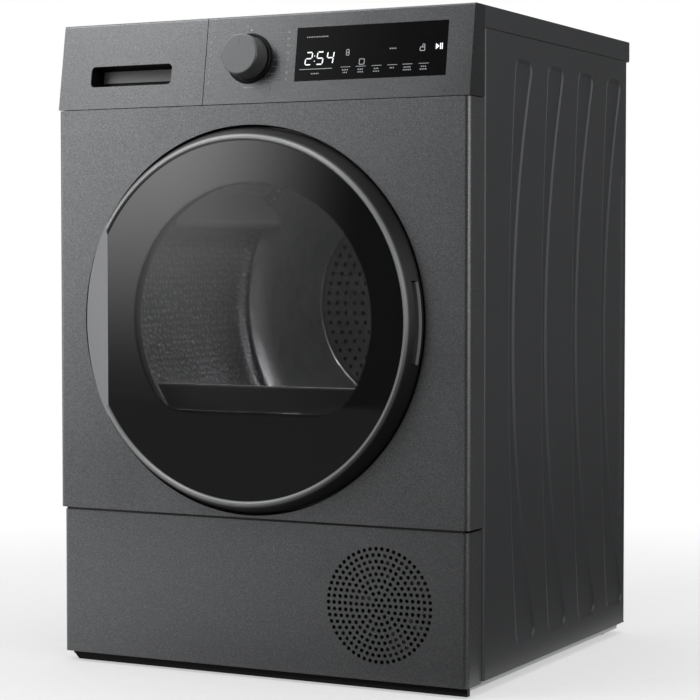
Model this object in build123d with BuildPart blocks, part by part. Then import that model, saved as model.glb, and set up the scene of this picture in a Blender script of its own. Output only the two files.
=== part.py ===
from build123d import *
import os
from math import asin, atan2, cos, hypot, radians, sin

# Driving dimensions in millimetres: +X is the right side, +Y the back, +Z up, floor at z = 0
WIDTH = 600.0
HEIGHT = 850.0
HALF = WIDTH / 2
SHEET = 1.0
FRONT = -276.0
SIDE_FRONT = -230.0
SIDE_BACK = 276.0
TOP_BACK = 293.0
REAR_MOST = 300.0
SIDE_BOTTOM = 15.0
TOP_UNDER = 822.0
FLANGE = 16.0

# Fascia and drawer front, a wall that leans back towards the top
FASCIA_BOTTOM = 737.0
FASCIA_LEAN = 17.0
FASCIA_WALL = 2.5
DRAWER_SPLIT = -77.0
SPLIT_GAP = 1.0
KNOB_X, KNOB_RISE = -11.0, 58.0
KNOB_BASE_RADIUS, KNOB_HEIGHT = 28.0, 28.0
BEZEL_RADIUS, BEZEL_BORE, BEZEL_HEIGHT = 32.5, 28.6, 4.0
SELECTOR_SHAFT = 3.0
DISPLAY_LEFT, DISPLAY_RIGHT = 56.0, 266.5
DISPLAY_LOW, DISPLAY_HIGH = 25.5, 94.5
SLOT_LEFT, SLOT_RIGHT = -252.0, -127.0
SLOT_LOW, SLOT_HIGH = 29.5, 57.0

# Front panel, its round recess and the lower cover
PANEL_BOTTOM, PANEL_TOP = 207.0, 736.0
COVER_BOTTOM, COVER_TOP = 12.0, 203.5
COVER_FACE = FRONT + 4.0
COVER_WALL = 2.0
CORNER, BEND = 6.0, 2.5
DOOR_X, DOOR_Z = -8.0, 460.0
RECESS_RADIUS = 250.0
RECESS_FLOOR = FRONT + 18.0
OPENING_RADIUS = 198.0
COLLAR_BACK = -250.0
GRILLE_X, GRILLE_Z = 176.0, 106.6
GRILLE_PITCH, GRILLE_HOLE, GRILLE_RINGS = 7.9, 2.8, 9

# Door: the trim ring's section, the sloped facet on the hinge side and the glass
RING_BACK, RING_RADIUS = FRONT + 2.0, 247.0
RING_SHOULDER, RING_SHOULDER_RADIUS = FRONT - 20.0, 239.0
RING_CREST, CREST_RADIUS = FRONT - 24.0, 234.0
GLASS_FACE, GLASS_RADIUS, GLASS_THICK = FRONT - 21.0, 229.0, 4.0
GLASS_CROWN, GLASS_LEDGE = 2.0, 4.0
CHORD_X = -209.0
FACET_EDGE_Y = FRONT - 5.0
RING_WALL = 2.5
WINDOW_RADIUS, WINDOW_FLAT = 178.0, 342.0
HINGE_X, HINGE_Y = -241.0, -279.5
HINGE_PIN, HINGE_EYE = 2.0, 3.2
EAR_OFFSET, EAR_THICK, LUG_OFFSET = 60.0, 8.0, 50.0
HINGE_HALF, EAR_ROOM = EAR_OFFSET + 6.0, 1.0
GRIP_HALF = 52.0
LATCH_X = 214.0

# Drum and what carries and turns it
DRUM_X, DRUM_Z = 0.0, 474.0
DRUM_RADIUS, NECK_RADIUS = 285.0, 268.0
DRUM_FRONT, DRUM_BACK = -200.0, 195.0
COLLAR_RADIUS = 262.0
RUN_GAP = 0.3
FIT_GAP = 0.05
ROLLER_RADIUS, ROLLER_WIDTH, ROLLER_ANGLE, AXLE_RADIUS = 22.0, 16.0, 38.0, 5.0
ROLLER_FRONT_Y, ROLLER_BACK_Y = -160.0, 158.0
FRONT_PLATE_Y, REAR_PLATE_Y, PLATE = -222.0, 199.0, 3.0
MOTOR_X, MOTOR_Z, MOTOR_RADIUS, SHAFT_RADIUS = 60.0, 115.0, 48.0, 5.0
PULLEY_RADIUS, BELT_Y, BELT_WIDTH, BELT_THICK = 8.0, 45.0, 10.0, 3.0
IDLER_X, IDLER_Z, IDLER_RADIUS, IDLER_PIN = 0.0, 128.0, 14.0, 3.0
PIVOT_X, PIVOT_Z, PIVOT_RADIUS = 5.0, 70.0, 4.0
BLOWER_RADIUS, BLOWER_BLADES = 78.0, 24
INLET_RADIUS, INLET_PITCH, INLET_HOLE = 112.0, 14.5, 3.6
INLET_FIRST_RING, INLET_LAST_RING = 2, 7
FAN_RADIUS, FAN_HUB, FAN_BLADES = 63.0, 20.0, 7

# Base and feet
BASE_BOTTOM, BASE_FLOOR = 7.4, 15.0
FOOT_X, FOOT_FRONT_Y, FOOT_BACK_Y = 262.0, -232.0, 243.0
FOOT_RADIUS, FOOT_HEIGHT, FOOT_STEM, FOOT_TOP = 18.0, 7.0, 5.0, 40.0

# Water tank and its shelf
TANK_LEFT, TANK_RIGHT = -282.0, -85.0
TANK_FRONT, TANK_BACK = -229.0, 180.0
TANK_BOTTOM, TANK_TOP, TANK_WALL = 762.0, 812.0, 2.0

# Lint filter, in a pocket under the loading opening
FILTER_HALF, FILTER_FRONT, FILTER_BACK = 90.0, -243.0, -227.0
FILTER_BOTTOM, FILTER_TOP = 180.0, 259.0
POCKET_GAP, POCKET_WALL = 1.0, 2.0

os.makedirs("parts", exist_ok=True)


def face_plane(y):
    """Plane at depth y seen from the front: local x is +X, local y is +Z, extrudes to the front."""
    return Plane.XZ.offset(-y)


def plan_plane(z):
    """Level plane at height z."""
    return Plane.XY.offset(z)


def turn_plane(x, z):
    """Plane of a turned section on an axis along Y: local x is depth, local y is radius."""
    return Plane(origin=(x, 0, z), x_dir=(0, 1, 0), z_dir=(1, 0, 0))


def turn_axis(x, z):
    """Axis along Y through (x, z)."""
    return Axis((x, 0, z), (0, 1, 0))


def fascia_plane(x=0.0, rise=0.0, lift=0.0):
    """Plane on the leaning face: local x is +X, local y runs up the face."""
    base = Plane(
        origin=(0, FRONT, FASCIA_BOTTOM),
        x_dir=(1, 0, 0),
        z_dir=(0, FASCIA_BOTTOM - HEIGHT, FASCIA_LEAN),
    )
    return Plane(origin=base.from_local_coords((x, rise, lift)), x_dir=base.x_dir, z_dir=base.z_dir)


def bent_sheet(plane, points, thickness, radius, side=Side.LEFT):
    """Section of a sheet bent along points, with its thickness on one side."""
    with BuildSketch(plane) as profile:
        with BuildLine():
            FilletPolyline(*points, radius=radius)
            offset(amount=thickness, side=side)
        make_face()
    return profile.sketch


def turned_sheet(x, z, points, thickness, side=Side.LEFT):
    """Sheet turned round an axis along Y from points (depth, radius), with mitred bends."""
    with BuildPart() as shell:
        with BuildSketch(turn_plane(x, z)):
            with BuildLine():
                Polyline(*points)
                offset(amount=thickness, side=side, kind=Kind.INTERSECTION)
            make_face()
        revolve(axis=turn_axis(x, z))
    return shell.part


def polygon(plane, *points):
    """Closed polygon on a plane."""
    with BuildSketch(plane) as profile:
        with BuildLine():
            Polyline(*points, close=True)
        make_face()
    return profile.sketch


def block(plane, left, right, low, high):
    """Rectangle on a plane, given by its edges."""
    with BuildSketch(plane) as profile:
        with Locations(((left + right) / 2, (low + high) / 2)):
            Rectangle(right - left, high - low)
    return profile.sketch


def disc(plane, *circles):
    """Circles given as (x, y, radius) on a plane."""
    with BuildSketch(plane) as profile:
        for x, y, radius in circles:
            with Locations((x, y)):
                Circle(radius)
    return profile.sketch


def annulus(plane, x, y, outer, inner):
    """Flat ring on a plane."""
    with BuildSketch(plane) as profile:
        with Locations((x, y)):
            Circle(outer)
            Circle(inner, mode=Mode.SUBTRACT)
    return profile.sketch


def wrapped(plane, circles):
    """Closed outline of tangent lines and arcs round circles (x, y, radius, sense), taken in order."""
    spans = []
    for (x0, y0, r0, s0), (x1, y1, r1, s1) in zip(circles, circles[1:] + circles[:1]):
        heading = atan2(y1 - y0, x1 - x0) - asin((s1 * r1 - s0 * r0) / hypot(x1 - x0, y1 - y0))
        normal = (-sin(heading), cos(heading))
        leave = (x0 - s0 * r0 * normal[0], y0 - s0 * r0 * normal[1])
        meet = (x1 - s1 * r1 * normal[0], y1 - s1 * r1 * normal[1])
        spans.append((leave, meet, (cos(heading), sin(heading))))
    with BuildSketch(plane) as profile:
        with BuildLine():
            for (leave, meet, along), (next_leave, _, _) in zip(spans, spans[1:] + spans[:1]):
                Line(leave, meet)
                TangentArc(meet, next_leave, tangent=along)
        make_face()
    return profile.sketch


def save(piece, name):
    """Label a finished piece and write it as its own STEP file."""
    piece.part.label = name
    export_step(piece.part, f"parts/{name}.step")


# Base: a moulded slab with a walled tray on it and a threaded boss for each foot
FEET = {
    "front_left": (-FOOT_X, FOOT_FRONT_Y),
    "front_right": (FOOT_X, FOOT_FRONT_Y),
    "back_left": (-FOOT_X, FOOT_BACK_Y),
    "back_right": (FOOT_X, FOOT_BACK_Y),
}
with BuildPart() as base_tray:
    with BuildSketch(plan_plane(BASE_BOTTOM)):
        with Locations((0, 3)):
            RectangleRounded(588, 534, 12)
    extrude(amount=BASE_FLOOR - BASE_BOTTOM)
    with BuildSketch(plan_plane(BASE_FLOOR)):
        with Locations((0, -5)):
            RectangleRounded(564, 400, 10)
            RectangleRounded(558, 394, 7, mode=Mode.SUBTRACT)
    extrude(amount=43)
    extrude(disc(plan_plane(BASE_FLOOR), *[(x, y, 11) for x, y in FEET.values()]), amount=35)
    extrude(
        disc(plan_plane(BASE_BOTTOM), *[(x, y, FOOT_STEM + FIT_GAP) for x, y in FEET.values()]),
        amount=FOOT_TOP + 2 - BASE_BOTTOM,
        mode=Mode.SUBTRACT,
    )
save(base_tray, "base_tray")

for corner, (x, y) in FEET.items():
    with BuildPart() as levelling_foot:
        extrude(disc(plan_plane(0), (x, y, FOOT_RADIUS)), amount=FOOT_HEIGHT)
        chamfer(levelling_foot.edges().group_by(Axis.Z)[-1], 2)
        extrude(disc(plan_plane(FOOT_HEIGHT), (x, y, FOOT_STEM)), amount=FOOT_TOP - FOOT_HEIGHT)
    save(levelling_foot, f"foot_{corner}")

with BuildPart() as plinth_strip:
    extrude(polygon(face_plane(-272), (-283, 11.5), (-274, 2.5), (297, 2.5), (297, 11.5)), amount=-8)
save(plinth_strip, "plinth_strip")

# Side panels: bent skins with four pressed fields, narrow at the waist, and a straight bead at the back
FIELD_PITCH, FIELD_COUNT, FIELD_DEPTH, FIELD_SLOPE = 109.0, 4, 1.4, 5.5
FIELD_TOP, FIELD_BOTTOM = 793.0, 44.0
FIELD_LEFT, FIELD_RIGHT = (143.0, 122.0, 150.0), (203.0, 141.0, 218.0)
FIELD_CORNER = 14.0
BEAD_Y, BEAD_Z, BEAD_WIDTH, BEAD_LENGTH = 253.0, 417.0, 14.0, 490.0
SEAM = 0.9


def pressed_field(x, index, inset):
    """Outline of one pressed field on the plane at x, drawn in by inset."""
    start = FRONT + index * FIELD_PITCH
    top, middle, bottom = FIELD_TOP - inset, (FIELD_TOP + FIELD_BOTTOM) / 2, FIELD_BOTTOM + inset
    left = [(start + y + inset, z) for y, z in zip(FIELD_LEFT, (top, middle, bottom))]
    right = [(start + y - inset, z) for y, z in zip(FIELD_RIGHT, (top, middle, bottom))]
    with BuildSketch(Plane.YZ.offset(x)) as outline:
        with BuildLine():
            ThreePointArc(*left)
            Line(left[-1], right[-1])
            ThreePointArc(*reversed(right))
            Line(right[0], left[0])
        make_face()
        fillet(outline.vertices(), FIELD_CORNER - inset)
    return outline.sketch


def rear_bead(x, inset):
    """Outline of the straight bead on the plane at x, drawn in by inset."""
    with BuildSketch(Plane.YZ.offset(x)) as outline:
        with Locations((BEAD_Y, BEAD_Z)):
            width = BEAD_WIDTH - 2 * inset
            RectangleRounded(width, BEAD_LENGTH - 2 * inset, width / 2 - RUN_GAP)
    return outline.sketch


with BuildPart() as right_side_panel:
    skin = [(HALF - FLANGE, SIDE_FRONT), (HALF, SIDE_FRONT), (HALF, SIDE_BACK), (HALF - FLANGE, SIDE_BACK)]
    extrude(bent_sheet(plan_plane(SIDE_BOTTOM), skin, SHEET, 5), amount=TOP_UNDER - SIDE_BOTTOM)
    fold = SHEET / 2
    for z in (SIDE_BOTTOM, TOP_UNDER - SHEET):
        extrude(block(plan_plane(z), HALF - FLANGE, HALF - fold, SIDE_FRONT + fold, SIDE_BACK - fold),
                amount=SHEET)
    for index in range(FIELD_COUNT):
        extrude(pressed_field(HALF - SHEET, index, -SHEET), amount=-FIELD_DEPTH)
    extrude(rear_bead(HALF - SHEET, -SHEET), amount=-FIELD_DEPTH)
    for index in range(FIELD_COUNT):
        loft(
            [pressed_field(HALF, index, 0).faces()[0],
             pressed_field(HALF - FIELD_DEPTH, index, FIELD_SLOPE).faces()[0]],
            mode=Mode.SUBTRACT,
        )
    loft(
        [rear_bead(HALF, 0).faces()[0], rear_bead(HALF - FIELD_DEPTH, FIELD_SLOPE).faces()[0]],
        mode=Mode.SUBTRACT,
    )
    extrude(
        polygon(face_plane(SIDE_BACK), (HALF, TOP_UNDER), (HALF, TOP_UNDER - SEAM), (HALF - SEAM, TOP_UNDER)),
        amount=SIDE_BACK - SIDE_FRONT,
        mode=Mode.SUBTRACT,
    )
save(right_side_panel, "right_side_panel")

with BuildPart() as left_side_panel:
    mirror(right_side_panel.part, about=Plane.YZ)
save(left_side_panel, "left_side_panel")

# Top plate: a shallow lid with a skirt all round
TOP_WALL, TOP_CORNER = 2.0, 10.0
with BuildPart() as top_plate:
    extrude(block(plan_plane(TOP_UNDER), -HALF, HALF, SIDE_FRONT, TOP_BACK), amount=HEIGHT - TOP_UNDER)
    fillet(top_plate.edges().filter_by(Axis.Z).group_by(Axis.Y)[-1], TOP_CORNER)
    offset(amount=-TOP_WALL, openings=top_plate.faces().sort_by(Axis.Z)[0])
    chamfer(top_plate.faces().sort_by(Axis.Z)[0].outer_wire().edges(), SEAM)
save(top_plate, "top_plate")

# Rear panel with the duct mouth, the blower mouth and louvres, and the pressed duct cover over both mouths
CORD_X, CORD_Z, CORD_BORE = -230.0, 60.0, 5.0
MOUTH_RADIUS, MOUTH_INSET = 118.0, 8.0
LOUVRE_X, LOUVRE_Z, LOUVRE_LENGTH, LOUVRE_WIDTH = -200.0, 150.0, 46.0, 5.0
BLOWER_OUTLINE = [(MOTOR_X, MOTOR_Z, 88.0, 1), (20.0, 240.0, 48.0, 1)]
with BuildPart() as rear_panel:
    extrude(block(face_plane(SIDE_BACK), -294, 294, 18, 820), amount=-SHEET)
    extrude(disc(face_plane(SIDE_BACK), (DRUM_X, DRUM_Z, MOUTH_RADIUS), (CORD_X, CORD_Z, CORD_BORE + 1)),
            amount=-SHEET, mode=Mode.SUBTRACT)
    mouth = [(x, z, radius - MOUTH_INSET, sense) for x, z, radius, sense in BLOWER_OUTLINE]
    extrude(wrapped(face_plane(SIDE_BACK), mouth), amount=-SHEET, mode=Mode.SUBTRACT)
    with BuildSketch(face_plane(SIDE_BACK)):
        with Locations((LOUVRE_X, LOUVRE_Z)):
            with GridLocations(LOUVRE_LENGTH + 10, 14, 2, 8):
                SlotOverall(LOUVRE_LENGTH, LOUVRE_WIDTH)
    extrude(amount=-SHEET, mode=Mode.SUBTRACT)
save(rear_panel, "rear_panel")

DUCT_SEAT, DUCT_WALL, DUCT_FLANGE, DUCT_TAPER = SIDE_BACK + SHEET, 1.5, 12.0, 15.0


def duct_outline(y, margin):
    """Outline round the blower and the drum inlet on the plane at depth y, grown by margin."""
    return wrapped(
        face_plane(y), [(MOTOR_X, MOTOR_Z, 98.0 + margin, 1), (DRUM_X, DRUM_Z, 150.0 + margin, 1)]
    )


with BuildPart() as rear_duct_cover:
    extrude(duct_outline(DUCT_SEAT, 0), amount=DUCT_SEAT - REAR_MOST, taper=DUCT_TAPER)
    extrude(duct_outline(DUCT_SEAT, DUCT_FLANGE), amount=-DUCT_WALL)
    extrude(
        duct_outline(DUCT_SEAT, -DUCT_WALL),
        amount=DUCT_SEAT - REAR_MOST + DUCT_WALL,
        taper=DUCT_TAPER,
        mode=Mode.SUBTRACT,
    )
save(rear_duct_cover, "rear_duct_cover")

# Front panel: a skin bent round both sides, with the door's dished recess and the loading collar
with BuildPart() as front_panel:
    skin = [(-HALF, SIDE_FRONT), (-HALF, FRONT), (HALF, FRONT), (HALF, SIDE_FRONT)]
    extrude(bent_sheet(plan_plane(PANEL_BOTTOM), skin, SHEET, CORNER), amount=PANEL_TOP - PANEL_BOTTOM)
    for z in (PANEL_BOTTOM, PANEL_TOP - SHEET):
        extrude(block(plan_plane(z), CORNER - HALF, HALF - CORNER, FRONT + SHEET / 2, FRONT + 14),
                amount=SHEET)
    extrude(disc(face_plane(FRONT), (DOOR_X, DOOR_Z, RECESS_RADIUS + SHEET / 2)), amount=-2 * SHEET,
            mode=Mode.SUBTRACT)
    dish = [
        (FRONT, RECESS_RADIUS), (RECESS_FLOOR - BEND, RECESS_RADIUS), (RECESS_FLOOR, RECESS_RADIUS - BEND),
        (RECESS_FLOOR, OPENING_RADIUS + BEND), (RECESS_FLOOR + BEND, OPENING_RADIUS),
        (COLLAR_BACK, OPENING_RADIUS),
    ]
    add(turned_sheet(DOOR_X, DOOR_Z, dish, SHEET))
    extrude(block(face_plane(RECESS_FLOOR - SHEET), LATCH_X - 8, LATCH_X + 8, DOOR_Z - 15, DOOR_Z + 15),
            amount=-3 * SHEET, mode=Mode.SUBTRACT)
save(front_panel, "front_panel")

# Lower cover with its round grille: rings of six more holes each
with BuildPart() as lower_front_cover:
    skin = [(3 - HALF, SIDE_FRONT), (3 - HALF, COVER_FACE), (HALF - 3, COVER_FACE), (HALF - 3, SIDE_FRONT)]
    extrude(bent_sheet(plan_plane(COVER_BOTTOM), skin, COVER_WALL, CORNER), amount=COVER_TOP - COVER_BOTTOM)
    with BuildSketch(face_plane(COVER_FACE)):
        with Locations((GRILLE_X, GRILLE_Z)):
            RegularPolygon(GRILLE_HOLE, 6)
            for ring in range(1, GRILLE_RINGS + 1):
                with PolarLocations(ring * GRILLE_PITCH, 6 * ring):
                    RegularPolygon(GRILLE_HOLE, 6)
    extrude(amount=-COVER_WALL, mode=Mode.SUBTRACT)
save(lower_front_cover, "lower_front_cover")


def leaning_shell(left, right, back_wall):
    """Hollow fascia length between two x, with end walls and a back wall of the given thickness."""
    side_plane = Plane.YZ.offset(left)
    inner_left = left + FASCIA_WALL
    with BuildPart() as shell:
        extrude(
            polygon(side_plane, (FRONT, FASCIA_BOTTOM), (FRONT + FASCIA_LEAN, HEIGHT), (SIDE_FRONT, HEIGHT),
                    (SIDE_FRONT, FASCIA_BOTTOM)),
            amount=right - left,
        )
        fillet(shell.edges().filter_by(Axis.X).group_by(Axis.Y)[1], 3)
        low, high = FASCIA_BOTTOM + FASCIA_WALL, HEIGHT - FASCIA_WALL
        slope = FASCIA_LEAN / (HEIGHT - FASCIA_BOTTOM)
        front = FRONT + FASCIA_WALL * hypot(1, slope)
        back = SIDE_FRONT - back_wall
        extrude(
            polygon(Plane.YZ.offset(inner_left), (front + slope * FASCIA_WALL, low),
                    (front + slope * (high - FASCIA_BOTTOM), high), (back, high), (back, low)),
            amount=right - FASCIA_WALL - inner_left,
            mode=Mode.SUBTRACT,
        )
    return shell.part


# Control fascia, display window, board, selector and knob
with BuildPart() as control_fascia:
    add(leaning_shell(DRAWER_SPLIT + SPLIT_GAP, HALF, 0))
    extrude(block(fascia_plane(lift=1), DISPLAY_LEFT, DISPLAY_RIGHT, DISPLAY_LOW, DISPLAY_HIGH), amount=-6,
            mode=Mode.SUBTRACT)
    extrude(disc(fascia_plane(KNOB_X, KNOB_RISE, 1), (0, 0, 8)), amount=-6, mode=Mode.SUBTRACT)
save(control_fascia, "control_fascia")

WINDOW_FIT, WINDOW_FLANGE = 0.2, 3.0
with BuildPart() as display_window:
    extrude(block(fascia_plane(lift=-FASCIA_WALL), DISPLAY_LEFT + WINDOW_FIT, DISPLAY_RIGHT - WINDOW_FIT,
                  DISPLAY_LOW + WINDOW_FIT, DISPLAY_HIGH - WINDOW_FIT), amount=FASCIA_WALL + 0.3)
    extrude(block(fascia_plane(lift=-FASCIA_WALL), DISPLAY_LEFT - WINDOW_FLANGE, DISPLAY_RIGHT + WINDOW_FLANGE,
                  DISPLAY_LOW - WINDOW_FLANGE, DISPLAY_HIGH + WINDOW_FLANGE), amount=-2)
save(display_window, "display_window")

BOARD_DEPTH, BOARD_THICK, SELECTOR_HEIGHT = 14.0, 1.6, 9.0
with BuildPart() as control_board:
    extrude(block(fascia_plane(lift=-BOARD_DEPTH), -45, 285, 22, 98), amount=-BOARD_THICK)
    with BuildSketch(fascia_plane(lift=-BOARD_DEPTH)):
        with Locations((-40, 27), (-40, 93), (280, 27), (280, 93)):
            Circle(3)
    extrude(amount=BOARD_DEPTH - FASCIA_WALL)
    extrude(block(fascia_plane(lift=-BOARD_DEPTH), 66, 256, 32, 88), amount=BOARD_DEPTH - FASCIA_WALL - 2 - 1)
    extrude(block(fascia_plane(KNOB_X, KNOB_RISE, -BOARD_DEPTH), -7, 7, -7, 7), amount=SELECTOR_HEIGHT)
    extrude(disc(fascia_plane(KNOB_X, KNOB_RISE, 1 - BOARD_DEPTH), (0, 0, SELECTOR_SHAFT + FIT_GAP)),
            amount=SELECTOR_HEIGHT, mode=Mode.SUBTRACT)
save(control_board, "control_board")

with BuildPart() as knob_bezel:
    extrude(annulus(fascia_plane(KNOB_X, KNOB_RISE), 0, 0, BEZEL_RADIUS, BEZEL_BORE), amount=BEZEL_HEIGHT)
    chamfer(knob_bezel.faces().sort_by(Axis.Y)[0].edges().sort_by(SortBy.RADIUS)[-1], 2)
save(knob_bezel, "knob_bezel")

KNOB_LIFT = 0.6
with BuildPart() as program_knob:
    extrude(disc(fascia_plane(KNOB_X, KNOB_RISE, KNOB_LIFT), (0, 0, KNOB_BASE_RADIUS)),
            amount=KNOB_HEIGHT - KNOB_LIFT, taper=4)
    fillet(program_knob.faces().sort_by(Axis.Y)[0].edges(), 2)
    extrude(disc(fascia_plane(KNOB_X, KNOB_RISE, KNOB_LIFT), (0, 0, SELECTOR_SHAFT)),
            amount=1.5 - BOARD_DEPTH)
    extrude(block(fascia_plane(KNOB_X, KNOB_RISE, KNOB_HEIGHT), -1, 1, 12, 21), amount=-1, mode=Mode.SUBTRACT)
save(program_knob, "program_knob")

# Tank drawer: front with a pull slot and its pocket, open tank, tank lid, and the shelf it slides on
POCKET_DEPTH, PULL_WALL = 24.0, 2.0
with BuildPart() as tank_drawer_front:
    add(leaning_shell(-HALF, DRAWER_SPLIT, FASCIA_WALL))
    extrude(block(fascia_plane(lift=-1), SLOT_LEFT - PULL_WALL, SLOT_RIGHT + PULL_WALL,
                  SLOT_LOW - PULL_WALL, SLOT_HIGH + PULL_WALL), amount=-POCKET_DEPTH)
    with BuildSketch(fascia_plane()):
        with Locations(((SLOT_LEFT + SLOT_RIGHT) / 2, (SLOT_LOW + SLOT_HIGH) / 2)):
            RectangleRounded(SLOT_RIGHT - SLOT_LEFT, SLOT_HIGH - SLOT_LOW, 6)
    extrude(amount=-POCKET_DEPTH, mode=Mode.SUBTRACT)
save(tank_drawer_front, "tank_drawer_front")

with BuildPart() as water_tank:
    extrude(block(plan_plane(TANK_BOTTOM), TANK_LEFT, TANK_RIGHT, TANK_FRONT - 1, TANK_BACK),
            amount=TANK_TOP - TANK_BOTTOM)
    extrude(block(plan_plane(TANK_BOTTOM + TANK_WALL), TANK_LEFT + TANK_WALL, TANK_RIGHT - TANK_WALL,
                  TANK_FRONT - 1 + TANK_WALL, TANK_BACK - TANK_WALL), amount=TANK_TOP, mode=Mode.SUBTRACT)
save(water_tank, "water_tank")

with BuildPart() as tank_lid:
    extrude(block(plan_plane(TANK_TOP), TANK_LEFT, TANK_RIGHT, TANK_FRONT - 1, TANK_BACK), amount=TANK_WALL)
    extrude(block(plan_plane(TANK_TOP), -230, -150, 90, 150), amount=TANK_WALL, mode=Mode.SUBTRACT)
save(tank_lid, "tank_lid")

SHELF_TOP, SHELF_WALL, SHELF_LEFT = TANK_BOTTOM - 1.0, 2.0, FIELD_DEPTH + SHEET - HALF
with BuildPart() as tank_shelf:
    extrude(block(plan_plane(SHELF_TOP - SHELF_WALL), SHELF_LEFT, TANK_RIGHT + 5, SIDE_FRONT + 2,
                  TANK_BACK + 6), amount=SHELF_WALL)
    extrude(block(plan_plane(SHELF_TOP), TANK_RIGHT + 3, TANK_RIGHT + 5, SIDE_FRONT + 2, TANK_BACK + 6),
            amount=HEIGHT - 2 - SHELF_TOP)
    extrude(block(plan_plane(SHELF_TOP), SHELF_LEFT, TANK_RIGHT + 5, TANK_BACK + 4, TANK_BACK + 6), amount=40)
save(tank_shelf, "tank_shelf")

# Door ring: a turned shell whose hinge side is cut back to a sloped facet
FACET_RUN = DOOR_X - RING_RADIUS - CHORD_X
HOLLOW_FRONT = GLASS_FACE + GLASS_THICK + RING_WALL
GRIP_FLOOR, GRIP_FRONT, GRIP_BACK = 230.0, HOLLOW_FRONT + 2.0, FRONT - 1.0


def facet_cut(depth):
    """Wedge in front of the sloped facet, moved back by depth."""
    return polygon(
        plan_plane(DOOR_Z - 300), (CHORD_X, GLASS_FACE + depth), (CHORD_X + FACET_RUN, FACET_EDGE_Y + depth),
        (CHORD_X + FACET_RUN - 20, FACET_EDGE_Y + depth), (CHORD_X + FACET_RUN - 20, RING_CREST - 5),
        (CHORD_X, RING_CREST - 5),
    )


def grip_sector(inner, outer, front, back, half):
    """Length of a turned ring on the opening side, half its height above and below the middle."""
    with BuildPart() as sector:
        section = polygon(
            turn_plane(DOOR_X, DOOR_Z), (front, inner), (front, outer), (back, outer), (back, inner)
        )
        revolve(section, axis=turn_axis(DOOR_X, DOOR_Z))
        extrude(block(Plane.YZ.offset(DOOR_X), front - 1, back + 1, DOOR_Z - half, DOOR_Z + half), amount=HALF,
                mode=Mode.INTERSECT)
    return sector.part


with BuildPart() as ring_hollow:
    revolve(
        polygon(turn_plane(DOOR_X, DOOR_Z), (RING_BACK + 1, 0), (RING_BACK + 1, RING_RADIUS - RING_WALL),
                (RING_BACK, RING_RADIUS - RING_WALL), (HOLLOW_FRONT, RING_SHOULDER_RADIUS - RING_WALL / 2),
                (HOLLOW_FRONT, 0)),
        axis=turn_axis(DOOR_X, DOOR_Z),
    )
    extrude(facet_cut(RING_WALL), amount=600, mode=Mode.SUBTRACT)

with BuildPart() as door_ring:
    revolve(
        polygon(turn_plane(DOOR_X, DOOR_Z), (RING_BACK, 0), (RING_BACK, RING_RADIUS),
                (RING_SHOULDER, RING_SHOULDER_RADIUS), (RING_CREST, CREST_RADIUS),
                (RING_CREST, CREST_RADIUS - 2), (GLASS_FACE, GLASS_RADIUS + 0.5), (GLASS_FACE, 0)),
        axis=turn_axis(DOOR_X, DOOR_Z),
    )
    extrude(facet_cut(0), amount=600, mode=Mode.SUBTRACT)
    add(ring_hollow.part, mode=Mode.SUBTRACT)
    seat = (GLASS_RADIUS + RUN_GAP, CHORD_X - RUN_GAP, -GLASS_THICK)
    through = (GLASS_RADIUS - GLASS_LEDGE, CHORD_X + GLASS_LEDGE, -30.0)
    for radius, edge, depth in (seat, through):
        with BuildSketch(face_plane(GLASS_FACE - 1)):
            with Locations((DOOR_X, DOOR_Z)):
                Circle(radius)
            with Locations((edge - 50, DOOR_Z)):
                Rectangle(100, 2 * radius, mode=Mode.SUBTRACT)
        extrude(amount=depth - 1, mode=Mode.SUBTRACT)
    ear_slot = EAR_THICK + 2 * EAR_ROOM
    for z in (DOOR_Z - EAR_OFFSET - ear_slot / 2, DOOR_Z + EAR_OFFSET - ear_slot / 2):
        extrude(disc(plan_plane(z), (HINGE_X, HINGE_Y, HINGE_EYE + EAR_ROOM / 2)), amount=ear_slot,
                mode=Mode.SUBTRACT)
        extrude(block(plan_plane(z), HINGE_X - 12, HINGE_X + 8, HINGE_Y - 2.8, RING_BACK), amount=ear_slot,
                mode=Mode.SUBTRACT)
    add(grip_sector(GRIP_FLOOR, RING_SHOULDER_RADIUS, GRIP_FRONT - RING_WALL, GRIP_BACK + RING_WALL,
                    GRIP_HALF + RING_WALL))
    add(grip_sector(GRIP_FLOOR + 2, RING_RADIUS + 5, GRIP_FRONT, GRIP_BACK, GRIP_HALF), mode=Mode.SUBTRACT)
save(door_ring, "door_ring")

with BuildPart() as door_glass:
    with BuildSketch(turn_plane(DOOR_X, DOOR_Z)):
        with BuildLine():
            ThreePointArc((GLASS_FACE, GLASS_RADIUS), (GLASS_FACE - 0.75 * GLASS_CROWN, GLASS_RADIUS / 2),
                          (GLASS_FACE - GLASS_CROWN, 0))
            Polyline((GLASS_FACE - GLASS_CROWN, 0), (GLASS_FACE + GLASS_THICK, 0),
                     (GLASS_FACE + GLASS_THICK, GLASS_RADIUS), (GLASS_FACE, GLASS_RADIUS))
        make_face()
    revolve(axis=turn_axis(DOOR_X, DOOR_Z))
    extrude(block(face_plane(GLASS_FACE + 10), CHORD_X - 60, CHORD_X, DOOR_Z - 300, DOOR_Z + 300), amount=30,
            mode=Mode.SUBTRACT)
save(door_glass, "door_glass")

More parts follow.
